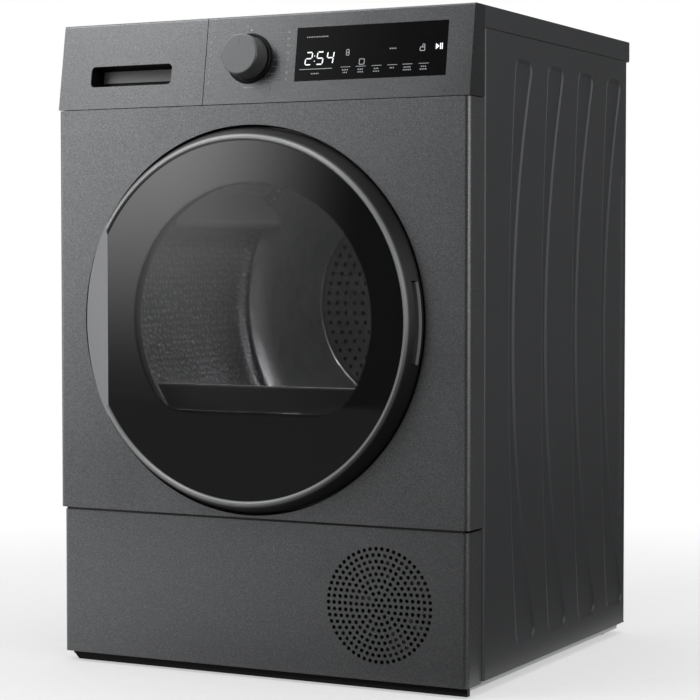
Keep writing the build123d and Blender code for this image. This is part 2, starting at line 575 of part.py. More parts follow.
# Inner frame: a cone from the glass to the window, the plug in the opening and a flange behind the ring
FLANGE_BACK, FLANGE_RADIUS, FLANGE_THICK = FRONT + 12.0, 232.0, 3.0
PLUG_BACK, PLUG_RADIUS = FRONT + 22.0, 192.0
CONE_BACK, CONE_RADIUS = FRONT + 6.0, 228.0
with BuildPart() as door_inner_frame:
    frame_section = polygon(
        turn_plane(DOOR_X, DOOR_Z), (HOLLOW_FRONT, CONE_RADIUS), (HOLLOW_FRONT, CONE_RADIUS - 6),
        (CONE_BACK, WINDOW_RADIUS), (PLUG_BACK, WINDOW_RADIUS), (PLUG_BACK, PLUG_RADIUS),
        (FLANGE_BACK, PLUG_RADIUS), (FLANGE_BACK, FLANGE_RADIUS), (FLANGE_BACK - FLANGE_THICK, FLANGE_RADIUS),
        (FLANGE_BACK - FLANGE_THICK, PLUG_RADIUS - 3), (PLUG_BACK - 3, PLUG_RADIUS - 3),
        (PLUG_BACK - 3, WINDOW_RADIUS + 3), (CONE_BACK, WINDOW_RADIUS + 4), (HOLLOW_FRONT + 3, CONE_RADIUS),
    )
    revolve(frame_section, axis=turn_axis(DOOR_X, DOOR_Z))
    with BuildSketch(face_plane(CONE_BACK)):
        with Locations((DOOR_X, DOOR_Z)):
            Circle(WINDOW_RADIUS + 1)
        with Locations((DOOR_X, WINDOW_FLAT + 300)):
            Rectangle(600, 600, mode=Mode.SUBTRACT)
    extrude(amount=-3)
    extrude(facet_cut(RING_WALL + RUN_GAP), amount=600, mode=Mode.SUBTRACT)
    extrude(block(face_plane(CONE_BACK - 2), DOOR_X - 260, HINGE_X + 25, DOOR_Z - HINGE_HALF - 2,
                  DOOR_Z + HINGE_HALF + 2), amount=-8, mode=Mode.SUBTRACT)
save(door_inner_frame, "door_inner_frame")

INNER_WINDOW_THICK, GASKET_OUTER, GASKET_INNER = 3.0, 212.0, 202.0
with BuildPart() as door_inner_window:
    extrude(disc(face_plane(PLUG_BACK + INNER_WINDOW_THICK), (DOOR_X, DOOR_Z, WINDOW_RADIUS + 8)),
            amount=INNER_WINDOW_THICK)
save(door_inner_window, "door_inner_window")

with BuildPart() as door_gasket:
    extrude(annulus(face_plane(RECESS_FLOOR - RUN_GAP), DOOR_X, DOOR_Z, GASKET_OUTER, GASKET_INNER),
            amount=RECESS_FLOOR - RUN_GAP - FLANGE_BACK)
save(door_gasket, "door_gasket")

# Hinge: bracket with two ears on the recess floor, pin, and an arm with two lugs on the door
with BuildPart() as hinge_bracket:
    extrude(block(face_plane(RECESS_FLOOR), HINGE_X - 1, HINGE_X + 14, DOOR_Z - HINGE_HALF,
                  DOOR_Z + HINGE_HALF), amount=2.5)
    for z in (DOOR_Z - EAR_OFFSET - EAR_THICK / 2, DOOR_Z + EAR_OFFSET - EAR_THICK / 2):
        extrude(disc(plan_plane(z), (HINGE_X, HINGE_Y, HINGE_EYE)), amount=EAR_THICK)
        extrude(block(plan_plane(z), HINGE_X - 1, HINGE_X + HINGE_EYE, HINGE_Y, RECESS_FLOOR),
                amount=EAR_THICK)
    extrude(disc(plan_plane(DOOR_Z - HINGE_HALF), (HINGE_X, HINGE_Y, HINGE_PIN + FIT_GAP)),
            amount=2 * HINGE_HALF, mode=Mode.SUBTRACT)
save(hinge_bracket, "hinge_bracket")

with BuildPart() as hinge_arm:
    arm_low, arm_high = DOOR_Z - LUG_OFFSET - EAR_THICK / 2, DOOR_Z + LUG_OFFSET + EAR_THICK / 2
    arm_face = FLANGE_BACK - FLANGE_THICK
    extrude(block(face_plane(arm_face), HINGE_X + 11, HINGE_X + 45, arm_low, arm_high), amount=3)
    for z in (arm_low, arm_high - EAR_THICK):
        extrude(disc(plan_plane(z), (HINGE_X, HINGE_Y, HINGE_EYE)), amount=EAR_THICK)
        extrude(block(plan_plane(z), HINGE_X, HINGE_X + 20, HINGE_Y - 2, arm_face), amount=EAR_THICK)
    extrude(disc(plan_plane(DOOR_Z - HINGE_HALF), (HINGE_X, HINGE_Y, HINGE_PIN)), amount=2 * HINGE_HALF,
            mode=Mode.SUBTRACT)
save(hinge_arm, "hinge_arm")

with BuildPart() as hinge_pin:
    pin_half = EAR_OFFSET + EAR_THICK / 2
    extrude(disc(plan_plane(DOOR_Z - pin_half), (HINGE_X, HINGE_Y, HINGE_PIN)), amount=2 * pin_half)
save(hinge_pin, "hinge_pin")

with BuildPart() as latch_hook:
    extrude(block(face_plane(FLANGE_BACK), LATCH_X - 3, LATCH_X + 3, DOOR_Z - 8, DOOR_Z + 8), amount=-18)
    extrude(block(face_plane(FLANGE_BACK + 13), LATCH_X - 3, LATCH_X + 5, DOOR_Z - 8, DOOR_Z + 8), amount=-5)
save(latch_hook, "latch_hook")

LOCK_FACE = RECESS_FLOOR + SHEET
with BuildPart() as door_lock:
    extrude(block(face_plane(LOCK_FACE), LATCH_X - 16, LATCH_X + 20, DOOR_Z - 25, DOOR_Z + 25), amount=-28)
    extrude(block(face_plane(LOCK_FACE), LATCH_X - 8, LATCH_X + 9, DOOR_Z - 14, DOOR_Z + 14), amount=-20,
            mode=Mode.SUBTRACT)
save(door_lock, "door_lock")

# Drum: a necked shell with three lifters
NECK_LENGTH, SHOULDER_START, SHOULDER_END, DRUM_BEND = 14.0, 27.0, 32.0, 2.0
with BuildPart() as drum:
    wall = [
        (DRUM_FRONT, NECK_RADIUS), (DRUM_FRONT + NECK_LENGTH, NECK_RADIUS),
        (DRUM_FRONT + SHOULDER_START, DRUM_RADIUS - DRUM_BEND), (DRUM_FRONT + SHOULDER_END, DRUM_RADIUS),
        (DRUM_BACK - SHOULDER_END, DRUM_RADIUS), (DRUM_BACK - SHOULDER_START, DRUM_RADIUS - DRUM_BEND),
        (DRUM_BACK - NECK_LENGTH, NECK_RADIUS), (DRUM_BACK, NECK_RADIUS),
    ]
    add(turned_sheet(DRUM_X, DRUM_Z, wall, SHEET, Side.RIGHT))
save(drum, "drum")

LIFTER_TIP, LIFTER_HALF, LIFTER_FRONT, LIFTER_BACK = 230.0, 26.0, -150.0, 145.0
with BuildPart() as drum_lifters:
    for turn in (30, 150, 270):
        across = (cos(radians(turn)), 0, sin(radians(turn)))
        lifter_plane = Plane(origin=(DRUM_X, LIFTER_BACK, DRUM_Z), x_dir=across, z_dir=(0, -1, 0))
        with BuildSketch(lifter_plane):
            with BuildLine():
                Polyline((LIFTER_TIP, -8), (DRUM_RADIUS, -LIFTER_HALF), (DRUM_RADIUS, LIFTER_HALF),
                         (LIFTER_TIP, 8))
                ThreePointArc((LIFTER_TIP, 8), (LIFTER_TIP - 5, 0), (LIFTER_TIP, -8))
            make_face()
            Circle(DRUM_RADIUS - SHEET, mode=Mode.INTERSECT)
        extrude(amount=LIFTER_BACK - LIFTER_FRONT)
save(drum_lifters, "drum_lifters")


def bulkhead_plate(y):
    """Outline of a bulkhead: a disc behind the drum's end, standing on the base."""
    with BuildSketch(face_plane(y)) as outline:
        with Locations((DRUM_X, DRUM_Z)):
            Circle(282)
        with Locations((0, (BASE_FLOOR + DRUM_Z) / 2)):
            Rectangle(480, DRUM_Z - BASE_FLOOR)
    return outline.sketch


# Front bulkhead with the loading tunnel, the drum collar and the lint filter's pocket
POCKET_SIDE = FILTER_HALF + POCKET_GAP
with BuildPart() as front_bulkhead:
    extrude(bulkhead_plate(FRONT_PLATE_Y), amount=-PLATE)
    tunnel_front = COLLAR_BACK + 0.5
    extrude(disc(face_plane(tunnel_front), (DOOR_X, DOOR_Z, OPENING_RADIUS + 5)),
            amount=tunnel_front - FRONT_PLATE_Y)
    extrude(annulus(face_plane(FRONT_PLATE_Y + PLATE), DRUM_X, DRUM_Z, COLLAR_RADIUS, COLLAR_RADIUS - PLATE),
            amount=-35)
    extrude(block(face_plane(FILTER_FRONT - POCKET_GAP - POCKET_WALL), DOOR_X - POCKET_SIDE - POCKET_WALL,
                  DOOR_X + POCKET_SIDE + POCKET_WALL, FILTER_BOTTOM - POCKET_GAP - POCKET_WALL, DOOR_Z - 150),
            amount=FILTER_FRONT - POCKET_GAP - POCKET_WALL - FRONT_PLATE_Y)
    extrude(disc(face_plane(tunnel_front - 1), (DOOR_X, DOOR_Z, OPENING_RADIUS + 2)), amount=-60,
            mode=Mode.SUBTRACT)
    extrude(block(face_plane(FILTER_FRONT - POCKET_GAP), DOOR_X - POCKET_SIDE, DOOR_X + POCKET_SIDE,
                  FILTER_BOTTOM - POCKET_GAP, DOOR_Z - 100), amount=FILTER_FRONT - FILTER_BACK - 2 * POCKET_GAP,
            mode=Mode.SUBTRACT)
    extrude(block(face_plane(FRONT_PLATE_Y), -235, -95, 40, 160), amount=-PLATE, mode=Mode.SUBTRACT)
save(front_bulkhead, "front_bulkhead")

with BuildPart() as lint_filter:
    with BuildSketch(face_plane(FILTER_BACK)) as filter_outline:
        with Locations((DOOR_X, (FILTER_BOTTOM + DOOR_Z) / 2)):
            Rectangle(2 * FILTER_HALF, DOOR_Z - FILTER_BOTTOM)
        with Locations((DOOR_X, DOOR_Z)):
            Circle(OPENING_RADIUS + 2, mode=Mode.SUBTRACT)
    extrude(amount=FILTER_BACK - FILTER_FRONT)
    for face_y, depth in ((FILTER_FRONT, -7), (FILTER_BACK, 7)):
        extrude(block(face_plane(face_y), DOOR_X - FILTER_HALF + 8, DOOR_X + FILTER_HALF - 8, FILTER_BOTTOM + 8,
                      FILTER_TOP - 10), amount=depth, mode=Mode.SUBTRACT)
save(lint_filter, "lint_filter")

# Rear bulkhead with the drum collar, the inlet mouth and the duct collar that meets the rear panel
with BuildPart() as rear_bulkhead:
    extrude(bulkhead_plate(REAR_PLATE_Y), amount=-PLATE)
    extrude(annulus(face_plane(REAR_PLATE_Y), DRUM_X, DRUM_Z, COLLAR_RADIUS, COLLAR_RADIUS - PLATE),
            amount=18)
    extrude(disc(face_plane(REAR_PLATE_Y), (DRUM_X, DRUM_Z, INLET_RADIUS), (MOTOR_X, MOTOR_Z, 56)),
            amount=-PLATE, mode=Mode.SUBTRACT)
    extrude(annulus(face_plane(REAR_PLATE_Y + PLATE), DRUM_X, DRUM_Z, INLET_RADIUS + 13, INLET_RADIUS + 10),
            amount=REAR_PLATE_Y + PLATE - SIDE_BACK)
save(rear_bulkhead, "rear_bulkhead")

with BuildPart() as air_inlet_plate:
    extrude(disc(face_plane(REAR_PLATE_Y), (DRUM_X, DRUM_Z, INLET_RADIUS + 6)), amount=2)
    with BuildSketch(face_plane(REAR_PLATE_Y)):
        with Locations((DRUM_X, DRUM_Z)):
            for ring in range(INLET_FIRST_RING, INLET_LAST_RING + 1):
                with PolarLocations(INLET_PITCH * ring, 6 * ring):
                    RegularPolygon(INLET_HOLE, 6)
    extrude(amount=2, mode=Mode.SUBTRACT)
save(air_inlet_plate, "air_inlet_plate")

with BuildPart() as drum_felt_seals:
    seal_radius, seal_width = NECK_RADIUS - SHEET - RUN_GAP, NECK_LENGTH - 1
    for y in (DRUM_FRONT + NECK_LENGTH, DRUM_BACK - 1):
        extrude(annulus(face_plane(y), DRUM_X, DRUM_Z, seal_radius, COLLAR_RADIUS), amount=seal_width)
save(drum_felt_seals, "drum_felt_seals")

# Rollers under both ends of the drum, on axles fixed to the bulkheads
ROLLER_REACH = DRUM_RADIUS + RUN_GAP + ROLLER_RADIUS
ROLLER_DROP = DRUM_Z - ROLLER_REACH * cos(radians(ROLLER_ANGLE))
ROLLER_SPREAD = ROLLER_REACH * sin(radians(ROLLER_ANGLE))
ROLLERS = {
    "front_left": (-ROLLER_SPREAD, ROLLER_FRONT_Y),
    "front_right": (ROLLER_SPREAD, ROLLER_FRONT_Y),
    "back_left": (-ROLLER_SPREAD, ROLLER_BACK_Y),
    "back_right": (ROLLER_SPREAD, ROLLER_BACK_Y),
}
for corner, (x, y) in ROLLERS.items():
    with BuildPart() as support_roller:
        extrude(annulus(face_plane(y + ROLLER_WIDTH / 2), x, ROLLER_DROP, ROLLER_RADIUS, AXLE_RADIUS + FIT_GAP),
                amount=ROLLER_WIDTH)
    save(support_roller, f"roller_{corner}")

AXLE_STAND = 6.0
with BuildPart() as roller_axles:
    for x, y in ROLLERS.values():
        root = FRONT_PLATE_Y + PLATE if y < 0 else REAR_PLATE_Y
        reach = ROLLER_WIDTH / 2 + AXLE_STAND
        length = root - (y + reach) if y < 0 else root - (y - reach)
        extrude(disc(face_plane(root), (x, ROLLER_DROP, AXLE_RADIUS)), amount=length)
save(roller_axles, "roller_axles")

# Belt round the drum and the motor's pulley, bent inwards by the idler
with BuildPart() as drive_belt:
    for margin, mode in ((BELT_THICK, Mode.ADD), (0.0, Mode.SUBTRACT)):
        circles = [
            (DRUM_X, DRUM_Z, DRUM_RADIUS + RUN_GAP + margin, 1),
            (IDLER_X, IDLER_Z, IDLER_RADIUS + RUN_GAP + BELT_THICK - margin, -1),
            (MOTOR_X, MOTOR_Z, PULLEY_RADIUS + RUN_GAP + margin, 1),
        ]
        extrude(wrapped(face_plane(BELT_Y + BELT_WIDTH / 2), circles), amount=BELT_WIDTH, mode=mode)
save(drive_belt, "drive_belt")

# Motor on its bracket, and its shaft with the belt pulley and the blower wheel
MOTOR_FRONT, MOTOR_BACK, BRACKET = 69.0, 171.0, 3.0
with BuildPart() as drive_motor:
    extrude(annulus(face_plane(MOTOR_BACK), MOTOR_X, MOTOR_Z, MOTOR_RADIUS, SHAFT_RADIUS + FIT_GAP),
            amount=MOTOR_BACK - MOTOR_FRONT)
    chamfer(drive_motor.edges().filter_by(GeomType.CIRCLE).group_by(SortBy.RADIUS)[-1], 6)
save(drive_motor, "drive_motor")

with BuildPart() as motor_bracket:
    left, right = MOTOR_X - 70, MOTOR_X + 58
    extrude(block(plan_plane(BASE_FLOOR), left, right, MOTOR_FRONT - BRACKET, MOTOR_BACK + BRACKET),
            amount=BRACKET)
    for y in (MOTOR_FRONT, MOTOR_BACK + BRACKET):
        extrude(block(face_plane(y), left, right, BASE_FLOOR, MOTOR_Z + 20), amount=BRACKET)
        extrude(disc(face_plane(y), (MOTOR_X, MOTOR_Z, 14)), amount=BRACKET, mode=Mode.SUBTRACT)
    extrude(disc(face_plane(MOTOR_FRONT - BRACKET), (PIVOT_X, PIVOT_Z, PIVOT_RADIUS)), amount=14)
save(motor_bracket, "motor_bracket")

with BuildPart() as motor_shaft:
    extrude(disc(face_plane(262), (MOTOR_X, MOTOR_Z, SHAFT_RADIUS)), amount=224)
    extrude(disc(face_plane(BELT_Y + 7.5), (MOTOR_X, MOTOR_Z, PULLEY_RADIUS)), amount=15)
    for y in (BELT_Y + 7.5, BELT_Y - 5.5):
        extrude(disc(face_plane(y), (MOTOR_X, MOTOR_Z, PULLEY_RADIUS + 3.5)), amount=2)
save(motor_shaft, "motor_shaft")

WHEEL_FRONT, WHEEL_BACK = 214.0, 252.0
with BuildPart() as blower_wheel:
    extrude(annulus(face_plane(WHEEL_BACK), MOTOR_X, MOTOR_Z, BLOWER_RADIUS, SHAFT_RADIUS), amount=3)
    extrude(annulus(face_plane(WHEEL_BACK), MOTOR_X, MOTOR_Z, 13, SHAFT_RADIUS), amount=30)
    extrude(annulus(face_plane(WHEEL_FRONT + 2), MOTOR_X, MOTOR_Z, BLOWER_RADIUS, BLOWER_RADIUS - 8),
            amount=2)
    with BuildSketch(face_plane(WHEEL_BACK - 2)):
        with Locations((MOTOR_X, MOTOR_Z)):
            with PolarLocations(BLOWER_RADIUS - 10, BLOWER_BLADES):
                Rectangle(17, 1.6, rotation=25)
    extrude(amount=WHEEL_BACK - WHEEL_FRONT - 3)
save(blower_wheel, "blower_wheel")

HOUSING_FRONT, HOUSING_WALL = 206.0, 2.5
with BuildPart() as blower_housing:
    extrude(wrapped(face_plane(SIDE_BACK), BLOWER_OUTLINE), amount=SIDE_BACK - HOUSING_FRONT)
    hollow = [(x, z, radius - HOUSING_WALL, sense) for x, z, radius, sense in BLOWER_OUTLINE]
    extrude(wrapped(face_plane(SIDE_BACK), hollow), amount=SIDE_BACK - HOUSING_FRONT - HOUSING_WALL,
            mode=Mode.SUBTRACT)
    extrude(disc(face_plane(SIDE_BACK), (MOTOR_X, MOTOR_Z, 54)), amount=SIDE_BACK - HOUSING_FRONT + 1,
            mode=Mode.SUBTRACT)
save(blower_housing, "blower_housing")

ARM_FRONT, ARM_BACK = 56.0, 60.0
with BuildPart() as tensioner_arm:
    extrude(wrapped(face_plane(ARM_BACK), [(PIVOT_X, PIVOT_Z, 10, 1), (IDLER_X, IDLER_Z, 7, 1)]),
            amount=ARM_BACK - ARM_FRONT)
    extrude(disc(face_plane(ARM_FRONT), (IDLER_X, IDLER_Z, IDLER_PIN)), amount=18)
    extrude(disc(face_plane(ARM_BACK), (PIVOT_X, PIVOT_Z, PIVOT_RADIUS + FIT_GAP)), amount=10,
            mode=Mode.SUBTRACT)
save(tensioner_arm, "tensioner_arm")

with BuildPart() as idler_pulley:
    extrude(annulus(face_plane(BELT_Y + 8), IDLER_X, IDLER_Z, IDLER_RADIUS, IDLER_PIN + FIT_GAP), amount=14)
save(idler_pulley, "idler_pulley")

# Heat pump: compressor, two finned exchangers and the copper pipes between them
COMPRESSOR_X, COMPRESSOR_Y, COMPRESSOR_RADIUS = 185.0, -70.0, 58.0
STUB_X, DISCHARGE_Z, SUCTION_Z, SUCTION_Y, PIPE = 115.0, 140.0, 60.0, -90.0, 4.0
with BuildPart() as compressor:
    extrude(disc(plan_plane(34), (COMPRESSOR_X, COMPRESSOR_Y, COMPRESSOR_RADIUS)), amount=136)
    fillet(compressor.edges().group_by(Axis.Z)[-1], 24)
    extrude(block(plan_plane(31), COMPRESSOR_X - 70, COMPRESSOR_X + 70, COMPRESSOR_Y - 60, COMPRESSOR_Y + 60),
            amount=3)
    with BuildSketch(plan_plane(BASE_FLOOR)):
        with Locations((COMPRESSOR_X, COMPRESSOR_Y)):
            with GridLocations(116, 96, 2, 2):
                Circle(9)
    extrude(amount=16)
    for y, z in ((COMPRESSOR_Y, DISCHARGE_Z), (SUCTION_Y, SUCTION_Z)):
        extrude(disc(Plane.YZ.offset(STUB_X), (y, z, PIPE + 1)), amount=30)
save(compressor, "compressor")

COIL_LEFT, COIL_RIGHT, COIL_LOW, COIL_HIGH, COIL_SLOTS = -268.0, -90.0, BASE_FLOOR, 165.0, 16
for name, coil_front, coil_back in (("evaporator", -190.0, -95.0), ("condenser", -80.0, 70.0)):
    with BuildPart() as coil:
        extrude(block(face_plane(coil_back), COIL_LEFT, COIL_RIGHT, COIL_LOW, COIL_HIGH),
                amount=coil_back - coil_front)
        for face_y, depth in ((coil_front, -35), (coil_back, 35)):
            with BuildSketch(face_plane(face_y)):
                with Locations(((COIL_LEFT + COIL_RIGHT) / 2, (COIL_LOW + COIL_HIGH) / 2)):
                    with GridLocations(10.5, 1, COIL_SLOTS, 1):
                        Rectangle(7, COIL_HIGH - COIL_LOW - 12)
            extrude(amount=depth, mode=Mode.SUBTRACT)
    save(coil, name)

with BuildPart() as refrigerant_pipes:
    routes = (
        [(STUB_X, COMPRESSOR_Y, DISCHARGE_Z), (20, COMPRESSOR_Y, DISCHARGE_Z), (20, -40, DISCHARGE_Z),
         (COIL_RIGHT, -40, DISCHARGE_Z)],
        [(STUB_X, SUCTION_Y, SUCTION_Z), (30, SUCTION_Y, SUCTION_Z), (30, -150, SUCTION_Z),
         (COIL_RIGHT, -150, SUCTION_Z)],
        [(COIL_RIGHT, 40, SUCTION_Z), (-60, 40, SUCTION_Z), (-60, -120, SUCTION_Z),
         (COIL_RIGHT, -120, SUCTION_Z)],
    )
    for route in routes:
        with BuildLine() as path:
            FilletPolyline(*route, radius=12)
        with BuildSketch(Plane(origin=route[0], z_dir=path.line % 0)):
            Circle(PIPE)
        sweep(path=path.line)
save(refrigerant_pipes, "refrigerant_pipes")

with BuildPart() as drain_pump:
    extrude(disc(plan_plane(BASE_FLOOR), (-180, 140, 26)), amount=24)
    extrude(disc(plan_plane(BASE_FLOOR), (-180, 140, 20)), amount=60)
    extrude(disc(Plane.YZ.offset(-180), (140, BASE_FLOOR + 12, 7)), amount=40)
save(drain_pump, "drain_pump")

# Cooling fan behind the grille
FAN_FRONT, FAN_BACK, FAN_FRAME, FAN_AXLE = -262.0, -230.0, 74.0, 3.0
with BuildPart() as cooling_fan_housing:
    extrude(block(face_plane(FAN_BACK), GRILLE_X - FAN_FRAME, GRILLE_X + FAN_FRAME, GRILLE_Z - FAN_FRAME,
                  GRILLE_Z + FAN_FRAME), amount=FAN_BACK - FAN_FRONT)
    extrude(block(face_plane(FAN_BACK), GRILLE_X - 50, GRILLE_X + 50, BASE_FLOOR, GRILLE_Z - FAN_FRAME),
            amount=20)
    extrude(disc(face_plane(FAN_BACK), (GRILLE_X, GRILLE_Z, FAN_RADIUS + 3)), amount=FAN_BACK - FAN_FRONT,
            mode=Mode.SUBTRACT)
    extrude(disc(face_plane(FAN_BACK), (GRILLE_X, GRILLE_Z, FAN_HUB)), amount=4)
    extrude(disc(face_plane(FAN_BACK), (GRILLE_X, GRILLE_Z, FAN_AXLE)), amount=26)
    with BuildSketch(face_plane(FAN_BACK)):
        with Locations((GRILLE_X, GRILLE_Z)):
            with PolarLocations((FAN_HUB + FAN_RADIUS) / 2 + 2, 3, 90):
                Rectangle(FAN_RADIUS - FAN_HUB + 8, 8)
    extrude(amount=4)
save(cooling_fan_housing, "cooling_fan_housing")

BLADE_PITCH = 32.0
with BuildPart() as cooling_fan_wheel:
    extrude(annulus(face_plane(-238), GRILLE_X, GRILLE_Z, FAN_HUB, FAN_AXLE + FIT_GAP), amount=18)
    for blade in range(FAN_BLADES):
        turn = radians(360 * blade / FAN_BLADES)
        outward = Vector(cos(turn), 0, sin(turn))
        around = Vector(-sin(turn), 0, cos(turn))
        lead = around * cos(radians(BLADE_PITCH)) + Vector(0, sin(radians(BLADE_PITCH)), 0)
        root = Vector(GRILLE_X, -247, GRILLE_Z) + outward * (FAN_HUB - 2)
        with BuildSketch(Plane(origin=root, x_dir=lead, z_dir=outward)):
            Rectangle(20, 1.8)
        extrude(amount=FAN_RADIUS - FAN_HUB + 2)
save(cooling_fan_wheel, "cooling_fan_wheel")

# Bushing that the mains cord comes out of
with BuildPart() as mains_inlet:
    for height, radius in ((9.0, 12.0), (3.0, 17.0)):
        extrude(annulus(face_plane(DUCT_SEAT + height), CORD_X, CORD_Z, radius, CORD_BORE), amount=height)
save(mains_inlet, "mains_inlet")
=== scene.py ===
"""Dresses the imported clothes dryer: finishes on its solids, panel graphics, small fittings and a studio."""
import logging
import math
from dataclasses import dataclass
from enum import Enum
from functools import cache

import bmesh
import bpy
from mathutils import Matrix, Vector


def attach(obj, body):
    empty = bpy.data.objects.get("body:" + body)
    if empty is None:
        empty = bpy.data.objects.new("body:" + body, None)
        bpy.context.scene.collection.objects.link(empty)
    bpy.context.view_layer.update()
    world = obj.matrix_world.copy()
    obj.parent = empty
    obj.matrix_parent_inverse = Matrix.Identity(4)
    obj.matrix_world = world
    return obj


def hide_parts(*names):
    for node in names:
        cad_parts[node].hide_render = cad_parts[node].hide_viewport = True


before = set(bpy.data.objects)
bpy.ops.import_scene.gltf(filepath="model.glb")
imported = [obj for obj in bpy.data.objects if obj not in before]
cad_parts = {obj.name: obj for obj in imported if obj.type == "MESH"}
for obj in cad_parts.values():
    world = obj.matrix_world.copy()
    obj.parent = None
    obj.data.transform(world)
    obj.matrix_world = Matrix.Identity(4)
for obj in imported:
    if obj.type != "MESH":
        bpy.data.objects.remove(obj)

LOG = logging.getLogger("dryer")
MM = 0.001
# Heights of lit and printed marks over their face, in millimetres
LIT_HEIGHT, INK_HEIGHT = 0.08, 0.05
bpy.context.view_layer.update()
Point = tuple[float, float]
Triple = tuple[float, float, float]
Colour = Triple
Socket = bpy.types.NodeSocket
Feed = Socket | float | tuple[float, ...]


class Grain(Enum):
    """The kinds of small relief that a finish can have."""

    FLAKE = "flake"
    MOULDED = "moulded"
    BRUSHED_LEVEL = "brushed_level"
    TURNED = "turned"
    SPANGLE = "spangle"
    FELT = "felt"
    FINS = "fins"
    MESH = "mesh"


EVEN_STRETCH: Triple = (1.0, 1.0, 1.0)
GRAIN_STRETCH: dict[Grain, Triple] = {Grain.BRUSHED_LEVEL: (0.02, 1.0, 1.0), Grain.TURNED: (0.05, 1.0, 0.05)}


class NodeBench:
    """Adds nodes to a shader tree and feeds their sockets."""

    def __init__(self, tree: bpy.types.NodeTree) -> None:
        """Take the tree to work on.

        Args:
            tree: The node tree.
        """
        self.tree = tree

    def feed(self, target: Socket, source: Feed) -> None:
        """Link a socket, or set it where the source is a plain value.

        Args:
            target: Input socket.
            source: Output socket, number, vector or colour.
        """
        if isinstance(source, Socket):
            self.tree.links.new(source, target)
        else:
            target.default_value = source

    def feed_named(self, node: bpy.types.Node, feeds: dict[str, Feed]) -> None:
        """Feed a node's inputs by their names.

        Args:
            node: The node.
            feeds: What each input takes, with underscores for the spaces in its name.
        """
        for label, source in feeds.items():
            self.feed(node.inputs[label.replace("_", " ")], source)

    def add(self, kind: str, **feeds: Feed) -> bpy.types.Node:
        """Add a node and feed it.

        Args:
            kind: Type of the node, without its prefix.
            **feeds: What each named input takes.

        Returns:
            The new node.
        """
        node = self.tree.nodes.new("ShaderNode" + kind)
        self.feed_named(node, feeds)
        return node

    def calc(self, operation: str, *feeds: Feed, kind: str = "Math") -> Socket:
        """Add a node that works out a value.

        Args:
            operation: What it works out.
            *feeds: What its inputs take, in order.
            kind: Math, or VectorMath for a length or distance.

        Returns:
            Socket of the value.
        """
        node = self.add(kind)
        node.operation = operation
        for target, source in zip(node.inputs, feeds):
            self.feed(target, source)
        return node.outputs["Value"]

    def span(self, value: Socket, start: Point, end: tuple[Feed, Feed] = (0.0, 1.0), smooth: bool = False) -> Socket:
        """Carry a value over from one span to another.

        Args:
            value: Socket of the value.
            start: Span that it comes from.
            end: Span that it goes to.
            smooth: Whether it eases in and out.

        Returns:
            Socket of the new value.
        """
        node = self.add("MapRange", Value=value, From_Min=start[0], From_Max=start[1], To_Min=end[0], To_Max=end[1])
        node.interpolation_type = "SMOOTHSTEP" if smooth else "LINEAR"
        return node.outputs["Result"]

    def blend(self, factor: Socket, first: Feed, second: Feed) -> Socket:
        """Mix two colours.

        Args:
            factor: Socket of the second colour's share.
            first: Colour or its socket.
            second: Colour or its socket.

        Returns:
            Socket of the mixed colour.
        """
        node = self.add("Mix")
        node.data_type = "RGBA"
        for label, source in (("Factor", factor), ("A", first), ("B", second)):
            self.feed(node.inputs[label], (*source, 1.0) if isinstance(source, tuple) else source)
        return node.outputs["Result"]

    def blend_shaders(self, factor: Socket, first: Socket, second: Socket) -> Socket:
        """Mix two shaders.

        Args:
            factor: Socket of the second shader's share.
            first: Socket of the first shader.
            second: Socket of the second shader.

        Returns:
            Socket of the mixed shader.
        """
        node = self.add("MixShader", Fac=factor)
        for target, source in zip(node.inputs[1:], (first, second)):
            self.feed(target, source)
        return node.outputs["Shader"]


class GroupBench(NodeBench):
    """A bench for a node group that several finishes share."""

    def __init__(self, name: str, inputs: tuple[str, ...], outputs: tuple[str, ...]) -> None:
        """Start the group with its sockets.

        Args:
            name: Name of the group.
            inputs: Names of its inputs, of which Vector is a vector and the others are values.
            outputs: Names of its value outputs.
        """
        super().__init__(bpy.data.node_groups.new(name, "ShaderNodeTree"))
        for label in inputs:
            kind = "NodeSocketVector" if label == "Vector" else "NodeSocketFloat"
            self.tree.interface.new_socket(label, in_out="INPUT", socket_type=kind)
        for label in outputs:
            self.tree.interface.new_socket(label, in_out="OUTPUT", socket_type="NodeSocketFloat")
        self.given = self.tree.nodes.new("NodeGroupInput").outputs
        self.result = self.tree.nodes.new("NodeGroupOutput").inputs


@cache
def fine_grain() -> bpy.types.NodeTree:
    """Make the group of fine noise and specks, for tone and relief.

    Returns:
        The shared group, with outputs Tone and Height.
    """
    bench = GroupBench("fine_grain", ("Vector", "Scale"), ("Tone", "Height"))
    where = {"Vector": bench.given["Vector"], "Scale": bench.given["Scale"]}
    fine = bench.add("TexNoise", Detail=3.0, Roughness=0.65, **where).outputs["Fac"]
    speck = bench.add("TexVoronoi", **where).outputs["Distance"]
    both = bench.calc("MULTIPLY_ADD", speck, 0.45, fine)
    bench.feed(bench.result["Tone"], bench.span(both, (0.45, 0.95)))
    bench.feed(bench.result["Height"], fine)
    return bench.tree


@cache
def hand_film() -> bpy.types.NodeTree:
    """Make the group of soft patches that change the gloss a little.

    Returns:
        The shared group, with the output Roughness.
    """
    bench = GroupBench("hand_film", ("Vector", "Low", "High"), ("Roughness",))
    patch = bench.add("TexNoise", Vector=bench.given["Vector"], Scale=9.0, Detail=4.0).outputs["Fac"]
    level = bench.span(patch, (0.3, 0.7), (bench.given["Low"], bench.given["High"]))
    bench.feed(bench.result["Roughness"], level)
    return bench.tree


